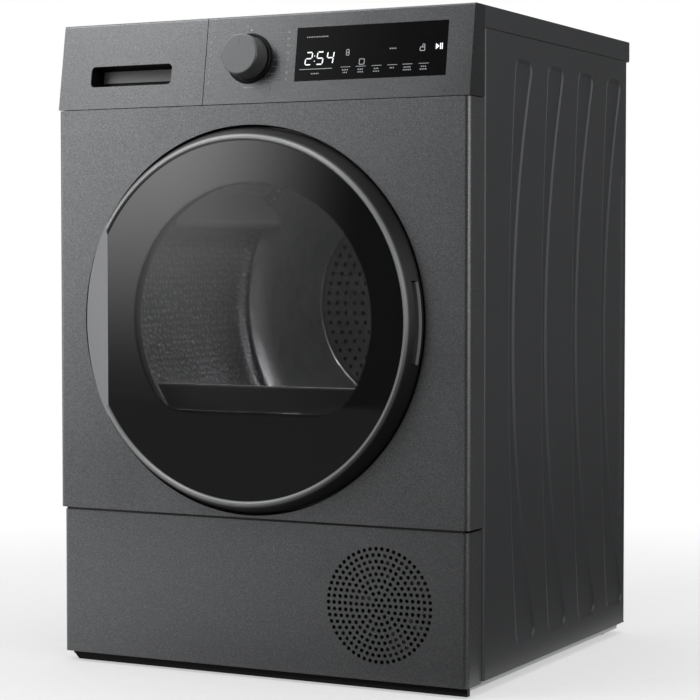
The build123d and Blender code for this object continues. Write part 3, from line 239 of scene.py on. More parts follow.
@cache
def drum_emboss() -> bpy.types.NodeTree:
    """Make the group of small pressed pips, wrapped around an axis along Y.

    Returns:
        The shared group, with the output Pip.
    """
    bench = GroupBench("drum_emboss", ("Vector", "Axis Height", "Radius", "Pips per Metre"), ("Pip",))
    axes = bench.add("SeparateXYZ", Vector=bench.given["Vector"]).outputs
    rise = bench.calc("SUBTRACT", axes["Z"], bench.given["Axis Height"])
    turn = bench.calc("ARCTAN2", rise, axes["X"])
    around = bench.calc("MULTIPLY", turn, bench.given["Radius"])
    flat = bench.add("CombineXYZ", X=around, Y=axes["Y"]).outputs["Vector"]
    cells = bench.add("TexVoronoi", Vector=flat, Scale=bench.given["Pips per Metre"], Randomness=0.6)
    cells.voronoi_dimensions = "2D"
    pip = bench.span(cells.outputs["Distance"], (0.1, 0.42), (1.0, 0.0), smooth=True)
    bench.feed(bench.result["Pip"], pip)
    return bench.tree


class Surface(NodeBench):
    """A node material in the making, with its Principled shader and Object coordinates."""

    def __init__(self, name: str) -> None:
        """Start the material.

        Args:
            name: Name of the material.
        """
        self.material = bpy.data.materials.new(name)
        self.material.use_nodes = True
        super().__init__(self.material.node_tree)
        self.shader = self.tree.nodes["Principled BSDF"]
        self.place = self.add("TexCoord").outputs["Object"]

    def group(self, tree: bpy.types.NodeTree, **feeds: Feed) -> bpy.types.NodeOutputs:
        """Place a shared group, on Object coordinates unless it is given others.

        Args:
            tree: The shared group.
            **feeds: What each named input takes.

        Returns:
            The group's outputs.
        """
        node = self.add("Group")
        node.node_tree = tree
        self.feed_named(node, {"Vector": self.place, **feeds})
        return node.outputs

    def axes(self) -> bpy.types.NodeOutputs:
        """Give the X, Y and Z sockets of the Object coordinates."""
        return self.add("SeparateXYZ", Vector=self.place).outputs

    def dress(self, **feeds: Feed) -> None:
        """Feed the Principled shader.

        Args:
            **feeds: What each named input takes.
        """
        self.feed_named(self.shader, feeds)

    def gloss(self, low: float, high: float) -> None:
        """Let soft patches vary the roughness.

        Args:
            low: Least roughness.
            high: Most roughness.
        """
        self.dress(Roughness=self.group(hand_film(), Low=low, High=high)["Roughness"])

    def relief(self, height: Socket, strength: float, depth: float) -> None:
        """Give the surface a fine relief.

        Args:
            height: Socket of the height.
            strength: Share of the relief that shows.
            depth: Height of the relief in metres.
        """
        bump = self.add("Bump", Strength=strength, Distance=depth, Height=height)
        self.dress(Normal=bump.outputs["Normal"])

    def show(self, shader: Socket) -> None:
        """Show another shader than the Principled one.

        Args:
            shader: Socket of the shader.
        """
        self.feed(self.tree.nodes["Material Output"].inputs["Surface"], shader)


@dataclass(frozen=True)
class Finish:
    """A solid finish: two tones with a grain, a band of gloss and a fine relief."""

    name: str
    dark: Colour
    light: Colour
    grain: Grain = Grain.MOULDED
    scale: float = 900.0
    relief: float = 0.05
    depth: float = 0.0002
    gloss: Point = (0.4, 0.5)
    metallic: float = 0.0
    coat: float = 0.0
    specular: float = 0.5
    coat_roughness: float = 0.25

    def build(self) -> bpy.types.Material:
        """Make the node material.

        Returns:
            The material of this finish.
        """
        surface = Surface(self.name)
        tone, height = self._pattern(surface)
        surface.dress(Base_Color=surface.blend(tone, self.dark, self.light), Metallic=self.metallic,
                      Specular_IOR_Level=self.specular, Coat_Weight=self.coat, Coat_Roughness=self.coat_roughness)
        surface.gloss(*self.gloss)
        surface.relief(height, self.relief, self.depth)
        return surface.material

    def _pattern(self, surface: Surface) -> tuple[Socket, Socket]:
        """Make the nodes of the grain.

        Args:
            surface: Material that takes the nodes.

        Returns:
            The sockets of tone and height.
        """
        stretch = surface.add("Mapping", Vector=surface.place, Scale=GRAIN_STRETCH.get(self.grain, EVEN_STRETCH))
        where = {"Vector": stretch.outputs["Vector"], "Scale": self.scale}
        if self.grain is Grain.SPANGLE:
            cells = surface.add("TexVoronoi", **where).outputs
            return surface.add("SeparateColor", Color=cells["Color"]).outputs["Red"], cells["Distance"]
        if self.grain in (Grain.FINS, Grain.MESH):
            waves = []
            for axis in "X" if self.grain is Grain.FINS else "XZ":
                wave = surface.add("TexWave", **where)
                wave.bands_direction = axis
                waves.append(wave.outputs["Fac"])
            threads = surface.calc("MAXIMUM", *waves) if self.grain is Grain.MESH else waves[0]
            return threads, threads
        grain = surface.group(fine_grain(), **where)
        return grain["Tone"], grain["Height"]


@dataclass(frozen=True)
class EmbossedSteel:
    """Drum sheet with pressed pips around its axis, in metres."""

    name: str = "drum_sheet"
    dark: Colour = (0.29, 0.29, 0.30)
    light: Colour = (0.54, 0.54, 0.55)
    axis_height: float = 0.474
    radius: float = 0.284
    pips_per_metre: float = 105.0
    relief: float = 0.8
    depth: float = 0.002
    gloss: Point = (0.3, 0.42)
    metallic: float = 0.75

    def build(self) -> bpy.types.Material:
        """Make the node material.

        Returns:
            The material of the drum sheet.
        """
        surface = Surface(self.name)
        pip = surface.group(drum_emboss(), Axis_Height=self.axis_height, Radius=self.radius,
                            Pips_per_Metre=self.pips_per_metre)["Pip"]
        surface.dress(Base_Color=surface.blend(pip, self.dark, self.light), Metallic=self.metallic)
        surface.gloss(*self.gloss)
        surface.relief(pip, self.relief, self.depth)
        return surface.material


@dataclass(frozen=True)
class DoorTrim:
    """Door ring: silver on its front, grey on the hinge facet, and near-black on the wall behind its shoulder as
    painted shade of the recess round it.
    """

    name: str = "door_trim"
    silver: tuple[Colour, Colour] = ((0.25, 0.252, 0.256), (0.37, 0.373, 0.377))
    facet: Colour = (0.19, 0.192, 0.196)
    # Near-black of the wall behind the shoulder: painted shade where the ring sits in the panel's recess.
    wall: Colour = (0.05, 0.05, 0.052)
    shoulder: Point = (-0.2989, -0.2968)
    facet_edge: float = -0.2085
    scale: float = 1600.0
    gloss: Point = (0.36, 0.42)
    metallic: float = 0.8

    def build(self) -> bpy.types.Material:
        """Make the node material.

        Returns:
            The material of the door ring.
        """
        surface = Surface(self.name)
        front = surface.blend(surface.group(fine_grain(), Scale=self.scale)["Tone"], *self.silver)
        axes = surface.axes()
        # Painted shade: from the shoulder back, the colour turns to the dark wall tone.
        wall_shade_ramp = surface.span(axes["Y"], self.shoulder, smooth=True)
        beside = surface.calc("GREATER_THAN", axes["X"], self.facet_edge)
        face = surface.blend(beside, self.facet, front)
        wall_shade_share = surface.calc("MULTIPLY", wall_shade_ramp, beside)
        surface.dress(Base_Color=surface.blend(wall_shade_share, face, self.wall), Metallic=self.metallic)
        surface.gloss(*self.gloss)
        return surface.material


@dataclass(frozen=True)
class PrintedBorder:
    """Black print round a window with a level lower side and rounded corners, in metres."""

    centre: Point
    radius: float
    sill: float
    corner: float
    edge: float

    def mask(self, surface: Surface) -> Socket:
        """Make the nodes that tell the print from the window.

        Args:
            surface: Material that takes the nodes.

        Returns:
            Socket that is 1 on the print and 0 in the window.
        """
        axes = surface.axes()
        flat = surface.add("CombineXYZ", X=axes["X"], Z=axes["Z"]).outputs["Vector"]
        reach = surface.calc("DISTANCE", flat, (self.centre[0], 0.0, self.centre[1]), kind="VectorMath")
        round_side = surface.calc("SUBTRACT", reach, self.radius)
        low_side = surface.calc("SUBTRACT", self.sill, axes["Z"])
        outline = surface.calc("SMOOTH_MAX", round_side, low_side, self.corner)
        return surface.span(outline, (-self.edge, self.edge))


@dataclass(frozen=True)
class SheetGlass:
    """Glass that lets part of the light through, with a faint film on its face."""

    name: str
    tint: Colour
    cover: float
    mirror: float
    border: PrintedBorder | None = None
    film: Point = (0.02, 0.06)
    drift_scale: float = 6.0
    drift: float = 1.25
    index: float = 1.5

    def build(self) -> bpy.types.Material:
        """Make the node material.

        Returns:
            The material of the glass.
        """
        surface = Surface(self.name)
        cloud = surface.add("TexNoise", Vector=surface.place, Scale=self.drift_scale).outputs["Fac"]
        pale = tuple(value * self.drift for value in self.tint)
        surface.dress(Base_Color=surface.blend(cloud, self.tint, pale), Alpha=self.cover, IOR=self.index,
                      Specular_IOR_Level=self.mirror)
        surface.gloss(*self.film)
        if self.border:
            surface.dress(Alpha=surface.span(self.border.mask(surface), (0.0, 1.0), (self.cover, 1.0)))
        return surface.material


@dataclass(frozen=True)
class Glow:
    """Lit print of the display: an even light with a faint grain."""

    name: str
    colour: Colour
    strength: float
    scale: float = 2500.0
    dim: float = 0.85
    roughness: float = 0.5

    def build(self) -> bpy.types.Material:
        """Make the node material.

        Returns:
            The material of the lit print.
        """
        surface = Surface(self.name)
        dimmed = tuple(value * self.dim for value in self.colour)
        light = surface.blend(surface.group(fine_grain(), Scale=self.scale)["Tone"], self.colour, dimmed)
        surface.dress(Base_Color=light, Emission_Color=light, Emission_Strength=self.strength,
                      Roughness=self.roughness)
        return surface.material


PAINT = Finish("cabinet_paint", (0.058, 0.060, 0.064), (0.112, 0.115, 0.120), Grain.FLAKE, 1400.0, 0.12, 0.00015,
               (0.36, 0.42), 0.55, 0.15)
FRONT_PAINT = Finish("front_paint", (0.080, 0.082, 0.086), (0.193, 0.196, 0.201), Grain.FLAKE, 680.0, 0.1,
                     0.0002, (0.32, 0.38), 0.7, 0.15)
TRIM = Finish("fascia_trim", (0.070, 0.072, 0.075), (0.145, 0.148, 0.152), Grain.FLAKE, 800.0, 0.06, 0.0002,
              (0.24, 0.3), 0.82, 0.0)
DOOR_TRIM = DoorTrim()
KNOB_CAP = Finish("knob_cap", (0.088, 0.09, 0.093), (0.15, 0.152, 0.155), Grain.FLAKE, 1600.0, 0.05, 0.0001,
                  (0.34, 0.4), 0.4, 0.1)
BLACK_GLOSS = Finish("black_gloss", (0.006, 0.006, 0.007), (0.010, 0.010, 0.011), Grain.MOULDED, 500.0, 0.01,
                     0.0001, (0.06, 0.1), specular=0.12)
BLACK_PLASTIC = Finish("black_plastic", (0.010, 0.010, 0.011), (0.020, 0.020, 0.021), Grain.MOULDED, 1100.0, 0.12,
                       0.0002, (0.42, 0.52), specular=0.2)
FRAME_PRINT = Finish("door_frame_black", (0.018, 0.018, 0.019), (0.026, 0.026, 0.027), Grain.MOULDED, 900.0, 0.06,
                     0.0001, (0.3, 0.4))
PULL_PLATE = Finish("pull_plate", (0.12, 0.122, 0.125), (0.16, 0.162, 0.165), Grain.FLAKE, 900.0, 0.08, 0.0002,
                    (0.4, 0.5), 0.3)
SILL_PLASTIC = Finish("sill_plastic", (0.22, 0.22, 0.225), (0.26, 0.26, 0.265), Grain.MOULDED, 900.0, 0.08, 0.0002,
                      (0.4, 0.5))
# Pale grey of the grip pocket's back edge: a painted highlight.
GRIP_HIGHLIGHT = Finish("grip_edge_highlight", (0.56, 0.562, 0.565), (0.64, 0.642, 0.645), Grain.FLAKE, 900.0, 0.05, 0.0002,
                   (0.3, 0.4), 0.4)
# Near-black with little gloss: the own black of small parts, and painted shade on the knob bezel and on the disc
# behind the air inlet's outer holes.
BLACK_AND_PAINTED_SHADE = Finish("black_and_painted_shade", (0.004, 0.004, 0.005), (0.008, 0.008, 0.009), Grain.MOULDED, 900.0, 0.1,
                      0.0002, (0.5, 0.6), specular=0.15)
GREY_PLASTIC = Finish("grey_plastic", (0.42, 0.43, 0.44), (0.50, 0.51, 0.52), Grain.MOULDED, 800.0, 0.08, 0.0002,
                      (0.45, 0.55))
# Pale plastic of the tank and base tray, also used as the painted highlight on the window sill's bead.
PALE_PLASTIC_AND_HIGHLIGHT = Finish("pale_plastic_and_highlight", (0.72, 0.73, 0.73), (0.80, 0.81, 0.81), Grain.MOULDED, 800.0, 0.08, 0.0002,
                      (0.4, 0.5))
LIFTER_PLASTIC = Finish("lifter_plastic", (0.075, 0.075, 0.078), (0.095, 0.095, 0.098), Grain.MOULDED, 900.0, 0.05,
                        0.0002, (0.5, 0.6))
FILTER_MESH = Finish("filter_mesh", (0.08, 0.08, 0.085), (0.24, 0.24, 0.25), Grain.MESH, 320.0, 0.5, 0.0004,
                     (0.5, 0.6))
# Black rubber of the feet, rollers and belt, also used as painted shade in the gaps round the front panel.
RUBBER_AND_GAP_SHADE = Finish("black_rubber_and_gap_shade", (0.010, 0.010, 0.010), (0.020, 0.020, 0.020), Grain.MOULDED, 700.0, 0.2, 0.0003,
                (0.65, 0.8))
GASKET = Finish("gasket_rubber", (0.035, 0.035, 0.036), (0.055, 0.055, 0.056), Grain.MOULDED, 600.0, 0.15, 0.0003,
                (0.6, 0.75))
ZINC = Finish("zinc_sheet", (0.47, 0.48, 0.49), (0.55, 0.56, 0.57), Grain.SPANGLE, 130.0, 0.03, 0.0002,
              (0.32, 0.45), 0.85)
DARK_ZINC = Finish("bulkhead_zinc", (0.20, 0.20, 0.205), (0.26, 0.26, 0.265), Grain.SPANGLE, 130.0, 0.03, 0.0002,
                   (0.35, 0.45), 0.7)
BRUSHED = Finish("brushed_sheet", (0.42, 0.42, 0.43), (0.60, 0.60, 0.61), Grain.BRUSHED_LEVEL, 1200.0, 0.12,
                 0.0002, (0.28, 0.36), 0.9)
TURNED = Finish("turned_steel", (0.50, 0.50, 0.51), (0.66, 0.66, 0.67), Grain.TURNED, 1500.0, 0.1, 0.0001,
                (0.2, 0.28), 1.0)
COVE_STEEL = Finish("cove_steel", (0.34, 0.34, 0.35), (0.46, 0.46, 0.47), Grain.TURNED, 900.0, 0.06, 0.0001,
                    (0.3, 0.36), 0.85)
FELT = Finish("felt_band", (0.36, 0.34, 0.30), (0.52, 0.50, 0.45), Grain.FELT, 500.0, 0.6, 0.0008, (0.9, 1.0))
BOARD = Finish("board_lacquer", (0.02, 0.10, 0.05), (0.03, 0.14, 0.07), Grain.MOULDED, 300.0, 0.05, 0.0002,
               (0.3, 0.4))
MOTOR = Finish("motor_enamel", (0.13, 0.13, 0.14), (0.19, 0.19, 0.20), Grain.MOULDED, 400.0, 0.2, 0.0004,
               (0.45, 0.55), 0.3)
NYLON = Finish("white_nylon", (0.68, 0.68, 0.66), (0.76, 0.76, 0.74), Grain.MOULDED, 700.0, 0.08, 0.0002,
               (0.4, 0.5))
COMPRESSOR = Finish("compressor_enamel", (0.012, 0.012, 0.013), (0.022, 0.022, 0.024), Grain.MOULDED, 350.0, 0.1,
                    0.0003, (0.25, 0.35))
FINNED = Finish("finned_aluminium", (0.30, 0.30, 0.31), (0.72, 0.73, 0.74), Grain.FINS, 170.0, 0.8, 0.001,
                (0.3, 0.4), 0.9)
COPPER = Finish("copper_pipe", (0.55, 0.27, 0.16), (0.72, 0.40, 0.26), Grain.MOULDED, 250.0, 0.05, 0.0002,
                (0.25, 0.4), 1.0)
PRINT_PALE = Finish("panel_print", (0.45, 0.46, 0.47), (0.55, 0.56, 0.57), Grain.MOULDED, 2000.0, 0.02, 0.0001,
                    (0.5, 0.6))
PRINT_FAINT = Finish("leader_print", (0.22, 0.225, 0.23), (0.27, 0.275, 0.28), Grain.MOULDED, 2000.0, 0.02,
                     0.0001, (0.5, 0.6))
DOOR_GLASS = SheetGlass("door_glass_tint", (0.007, 0.0073, 0.008), 0.5, 0.74,
                        border=PrintedBorder((0.005, 0.463), 0.173, 0.3405, 0.04, 0.0014))
INNER_GLASS = SheetGlass("inner_window_glass", (0.10, 0.105, 0.105), 0.12, 0.04)
LIT_WHITE = Glow("display_white", (0.9, 0.93, 0.95), 0.9)
LIT_DIM = Glow("display_grey", (0.5, 0.52, 0.54), 0.4)

AnyFinish = Finish | EmbossedSteel | DoorTrim | SheetGlass | Glow
NODE_FINISHES: dict[str, AnyFinish] = {
    "left_side_panel": PAINT, "right_side_panel": PAINT, "top_plate": PAINT,
    "front_panel": FRONT_PAINT, "lower_front_cover": FRONT_PAINT,
    "control_fascia": TRIM, "tank_drawer_front": TRIM, "door_ring": DOOR_TRIM, "program_knob": KNOB_CAP,
    # The knob bezel's near-black is partly its own black and partly painted shade round the knob's base.
    "display_window": BLACK_GLOSS, "plinth_strip": BLACK_GLOSS, "knob_bezel": BLACK_AND_PAINTED_SHADE,
    "door_inner_frame": FRAME_PRINT, "door_lock": BLACK_PLASTIC, "latch_hook": BLACK_PLASTIC,
    "blower_housing": BLACK_PLASTIC, "blower_wheel": BLACK_PLASTIC, "cooling_fan_housing": BLACK_AND_PAINTED_SHADE,
    "cooling_fan_wheel": BLACK_AND_PAINTED_SHADE, "drain_pump": BLACK_PLASTIC, "mains_inlet": BLACK_PLASTIC,
    "base_tray": PALE_PLASTIC_AND_HIGHLIGHT, "water_tank": PALE_PLASTIC_AND_HIGHLIGHT, "tank_lid": PALE_PLASTIC_AND_HIGHLIGHT, "tank_shelf": GREY_PLASTIC,
    "drum_lifters": LIFTER_PLASTIC, "lint_filter": FILTER_MESH,
    "foot_front_left": RUBBER_AND_GAP_SHADE, "foot_front_right": RUBBER_AND_GAP_SHADE, "foot_back_left": RUBBER_AND_GAP_SHADE, "foot_back_right": RUBBER_AND_GAP_SHADE,
    "roller_front_left": RUBBER_AND_GAP_SHADE, "roller_front_right": RUBBER_AND_GAP_SHADE, "roller_back_left": RUBBER_AND_GAP_SHADE,
    "roller_back_right": RUBBER_AND_GAP_SHADE, "drive_belt": RUBBER_AND_GAP_SHADE, "door_gasket": GASKET,
    "rear_panel": ZINC, "rear_duct_cover": ZINC, "rear_bulkhead": DARK_ZINC, "front_bulkhead": ZINC,
    "motor_bracket": ZINC, "tensioner_arm": ZINC, "hinge_bracket": BRUSHED, "hinge_arm": BRUSHED,
    "air_inlet_plate": DARK_ZINC, "drum": EmbossedSteel(), "hinge_pin": TURNED, "roller_axles": TURNED,
    "motor_shaft": TURNED, "drum_felt_seals": FELT, "control_board": BOARD, "drive_motor": MOTOR,
    "idler_pulley": NYLON, "compressor": COMPRESSOR, "evaporator": FINNED, "condenser": FINNED,
    "refrigerant_pipes": COPPER, "door_glass": DOOR_GLASS, "door_inner_window": INNER_GLASS,
}


class FinishShelf:
    """Keeps each finish's material so that it is made once."""

    def __init__(self) -> None:
        """Start with no materials made."""
        self._made: dict[str, bpy.types.Material] = {}

    def material(self, finish: AnyFinish) -> bpy.types.Material:
        """Give a finish's material, made on its first use.

        Args:
            finish: The finish wanted.

        Returns:
            The node material of that finish.
        """
        if finish.name not in self._made:
            self._made[finish.name] = finish.build()
        return self._made[finish.name]

    def dress_nodes(self) -> None:
        """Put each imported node's finish in all its material slots."""
        for name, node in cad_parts.items():
            material = self.material(NODE_FINISHES[name])
            if not node.material_slots:
                node.data.materials.append(material)
            for place in node.material_slots:
                place.material = material
            LOG.info("dressed %s", name)


def stand_object(name: str, form: bmesh.types.BMesh) -> bpy.types.Object:
    """Put a mesh in the scene.

    Args:
        name: Name of the object.
        form: Its mesh; freed here.

    Returns:
        The new object.
    """
    mesh = bpy.data.meshes.new(name)
    form.to_mesh(mesh)
    form.free()
    made = bpy.data.objects.new(name, mesh)
    bpy.context.scene.collection.objects.link(made)
    return made


@dataclass
class PieceMaker:
    """Turns a bmesh into a named piece that rides on a body."""

    shelf: FinishShelf
    crease: float = math.radians(32)

    def add(self, name: str, form: bmesh.types.BMesh, finish: AnyFinish, body: str, slot: str,
            smooth: bool = False) -> bpy.types.Object:
        """Make the piece.

        Args:
            name: Name of the piece.
            form: Its mesh, in the row frame; freed here.
            finish: Finish that it takes.
            body: Body that it rides on.
            slot: The record's material slot for it; not used.
            smooth: Whether its faces are shaded smooth.

        Returns:
            The new object.
        """
        for face in form.faces:
            face.smooth = smooth
        for edge in form.edges:
            edge.smooth = edge.calc_face_angle(0.0) < self.crease
        piece = stand_object(name, form)
        piece.data.materials.append(self.shelf.material(finish))
        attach(piece, body)
        LOG.info("made %s with %d faces", name, len(piece.data.polygons))
        return piece


@dataclass(frozen=True)
class FasciaPlane:
    """The leaning face of the control panel."""

    front: float = -276.0 * MM
    bottom: float = 737.0 * MM
    lean: float = 17.0 * MM
    height: float = 113.0 * MM

    def at(self, x: float, rise: float, lift: float = 0.0) -> Matrix:
        """Place local right, up and outwards axes on the face.

        Args:
            x: Distance to the right in millimetres.
            rise: Distance up the face in millimetres.
            lift: Distance out of the face in millimetres.

        Returns:
            Matrix from the local axes to the row frame.
        """
        up = Vector((0, self.lean, self.height)).normalized()
        out = Vector((0, -self.height, self.lean)).normalized()
        origin = Vector((x * MM, self.front, self.bottom)) + up * rise * MM + out * lift * MM
        facing = Matrix(((1, 0, 0), up, out)).transposed().to_4x4()
        return Matrix.Translation(origin) @ facing


def upright(x: float, y: float, z: float) -> Matrix:
    """Place local right, up and outwards axes on an upright plane that faces the front.

    Args:
        x: Origin's distance to the right in millimetres.
        y: Origin's depth in millimetres.
        z: Origin's height in millimetres.

    Returns:
        Matrix from the local axes to the row frame.
    """
    return Matrix.Translation((x * MM, y * MM, z * MM)) @ Matrix.Rotation(math.radians(90), 4, "X")


def rectangle(left: float, low: float, right: float, high: float) -> list[Point]:
    """Give the corners of a rectangle, anticlockwise.

    Args:
        left: Left side.
        low: Lower side.
        right: Right side.
        high: Upper side.

    Returns:
        The four corners.
    """
    return [(left, low), (right, low), (right, high), (left, high)]


def face_out(form: bmesh.types.BMesh) -> None:
    """Turn a mesh's faces outwards."""
    bmesh.ops.recalc_face_normals(form, faces=form.faces)


def thicken(form: bmesh.types.BMesh, thickness: float) -> None:
    """Give an open sheet its thickness.

    Args:
        form: Mesh of the sheet.
        thickness: Thickness in millimetres.
    """
    bmesh.ops.solidify(form, geom=form.faces[:], thickness=thickness * MM)
    face_out(form)


def round_edges(form: bmesh.types.BMesh, edges: list[bmesh.types.BMEdge], width: float, segments: int) -> None:
    """Round some edges of a mesh.

    Args:
        form: The mesh.
        edges: Its edges to round.
        width: Width of the rounding in millimetres.
        segments: Steps across the rounding.
    """
    bmesh.ops.bevel(form, geom=edges, offset=width * MM, affect="EDGES", segments=segments, profile=0.5, material=-1)


def lift_grown(form: bmesh.types.BMesh, grown: dict, height: float) -> list[bmesh.types.BMVert]:
    """Move what an extrusion made out of its plane.

    Args:
        form: Mesh that was extruded.
        grown: What the extrusion gave back.
        height: Distance in millimetres.

    Returns:
        The moved vertices.
    """
    raised = [item for item in grown["geom"] if isinstance(item, bmesh.types.BMVert)]
    bmesh.ops.translate(form, verts=raised, vec=(0, 0, height * MM))
    return raised


def plate(form: bmesh.types.BMesh, outline: list[Point], place: Matrix, thickness: float) -> None:
    """Add a flat plate of the given outline, standing out of its plane.

    Args:
        form: Mesh that takes the plate.
        outline: Corners in millimetres, anticlockwise.
        place: Matrix of the plane.
        thickness: Height of the plate in millimetres.
    """
    corners = [form.verts.new((x * MM, y * MM, 0)) for x, y in outline]
    grown = bmesh.ops.extrude_face_region(form, geom=[form.faces.new(corners)])
    raised = lift_grown(form, grown, thickness)
    bmesh.ops.transform(form, matrix=place, verts=corners + raised)


def bar(form: bmesh.types.BMesh, place: Matrix, start: Point, end: Point, width: float,
        thickness: float = LIT_HEIGHT) -> None:
    """Add a bar with pointed ends between two points of a plane.

    Args:
        form: Mesh that takes the bar.
        place: Matrix of the plane.
        start: One end in millimetres.
        end: Other end in millimetres.
        width: Width of the bar in millimetres.
        thickness: Height of the bar in millimetres.
    """
    first, last = Vector(start), Vector(end)
    along = (last - first).normalized() * width / 2
    across = Vector((-along.y, along.x))
    outline = [first, first + along - across, last - along - across, last, last - along + across,
               first + along + across]
    plate(form, [(point.x, point.y) for point in outline], place, thickness)


def frame_outline(form: bmesh.types.BMesh, place: Matrix, corners: list[Point], width: float) -> None:
    """Add a closed outline of bars.

    Args:
        form: Mesh that takes the bars.
        place: Matrix of the plane.
        corners: Corners of the outline in millimetres.
        width: Width of its bars in millimetres.
    """
    for start, end in zip(corners, corners[1:] + corners[:1]):
        bar(form, place, start, end, width)


def add_number(form: bmesh.types.BMesh, number: int, size: float, place: Matrix) -> None:
    """Add a plain raised number, centred on its place.

    Args:
        form: Mesh that takes the number.
        number: The number.
        size: Height in millimetres.
        place: Matrix of the plane, with the origin at the number's place.
    """
    half_thickness, smoothness = 0.04, 3
    curve = bpy.data.curves.new("lettering", "FONT")
    curve.body = str(number)
    curve.size = size * MM
    curve.extrude = half_thickness * MM
    curve.align_x = curve.align_y = "CENTER"
    curve.resolution_u = smoothness
    holder = bpy.data.objects.new("lettering", curve)
    mesh = bpy.data.meshes.new_from_object(holder)
    mesh.transform(place)
    form.from_mesh(mesh)
    bpy.data.objects.remove(holder)
    bpy.data.curves.remove(curve)
    bpy.data.meshes.remove(mesh)


def turned(profile: list[Point], centre: Point, steps: int) -> bmesh.types.BMesh:
    """Turn a section about an axis along Y.

    Args:
        profile: Depth and radius of each point in millimetres.
        centre: X and Z of the axis in millimetres.
        steps: Number of steps round the axis.

    Returns:
        A mesh of the turned section, with its normals made consistent.
    """
    form = bmesh.new()
    points = [form.verts.new(((centre[0] + radius) * MM, depth * MM, centre[1] * MM)) for depth, radius in profile]
    edges = [form.edges.new(pair) for pair in zip(points, points[1:])]
    bmesh.ops.spin(form, geom=points + edges, axis=(0, 1, 0), cent=(centre[0] * MM, 0, centre[1] * MM),
                   angle=math.tau, steps=steps, use_merge=True)
    bmesh.ops.remove_doubles(form, verts=form.verts, dist=0.01 * MM)
    face_out(form)
    return form


SEGMENTS: dict[str, tuple[Point, Point]] = {
    "a": ((0, 2), (1, 2)), "b": ((1, 2), (1, 1)), "c": ((1, 1), (1, 0)), "d": ((0, 0), (1, 0)),
    "e": ((0, 1), (0, 0)), "f": ((0, 2), (0, 1)), "g": ((0, 1), (1, 1)),
}
DIGITS: dict[str, str] = {"2": "abged", "5": "afgcd", "4": "fgbc"}


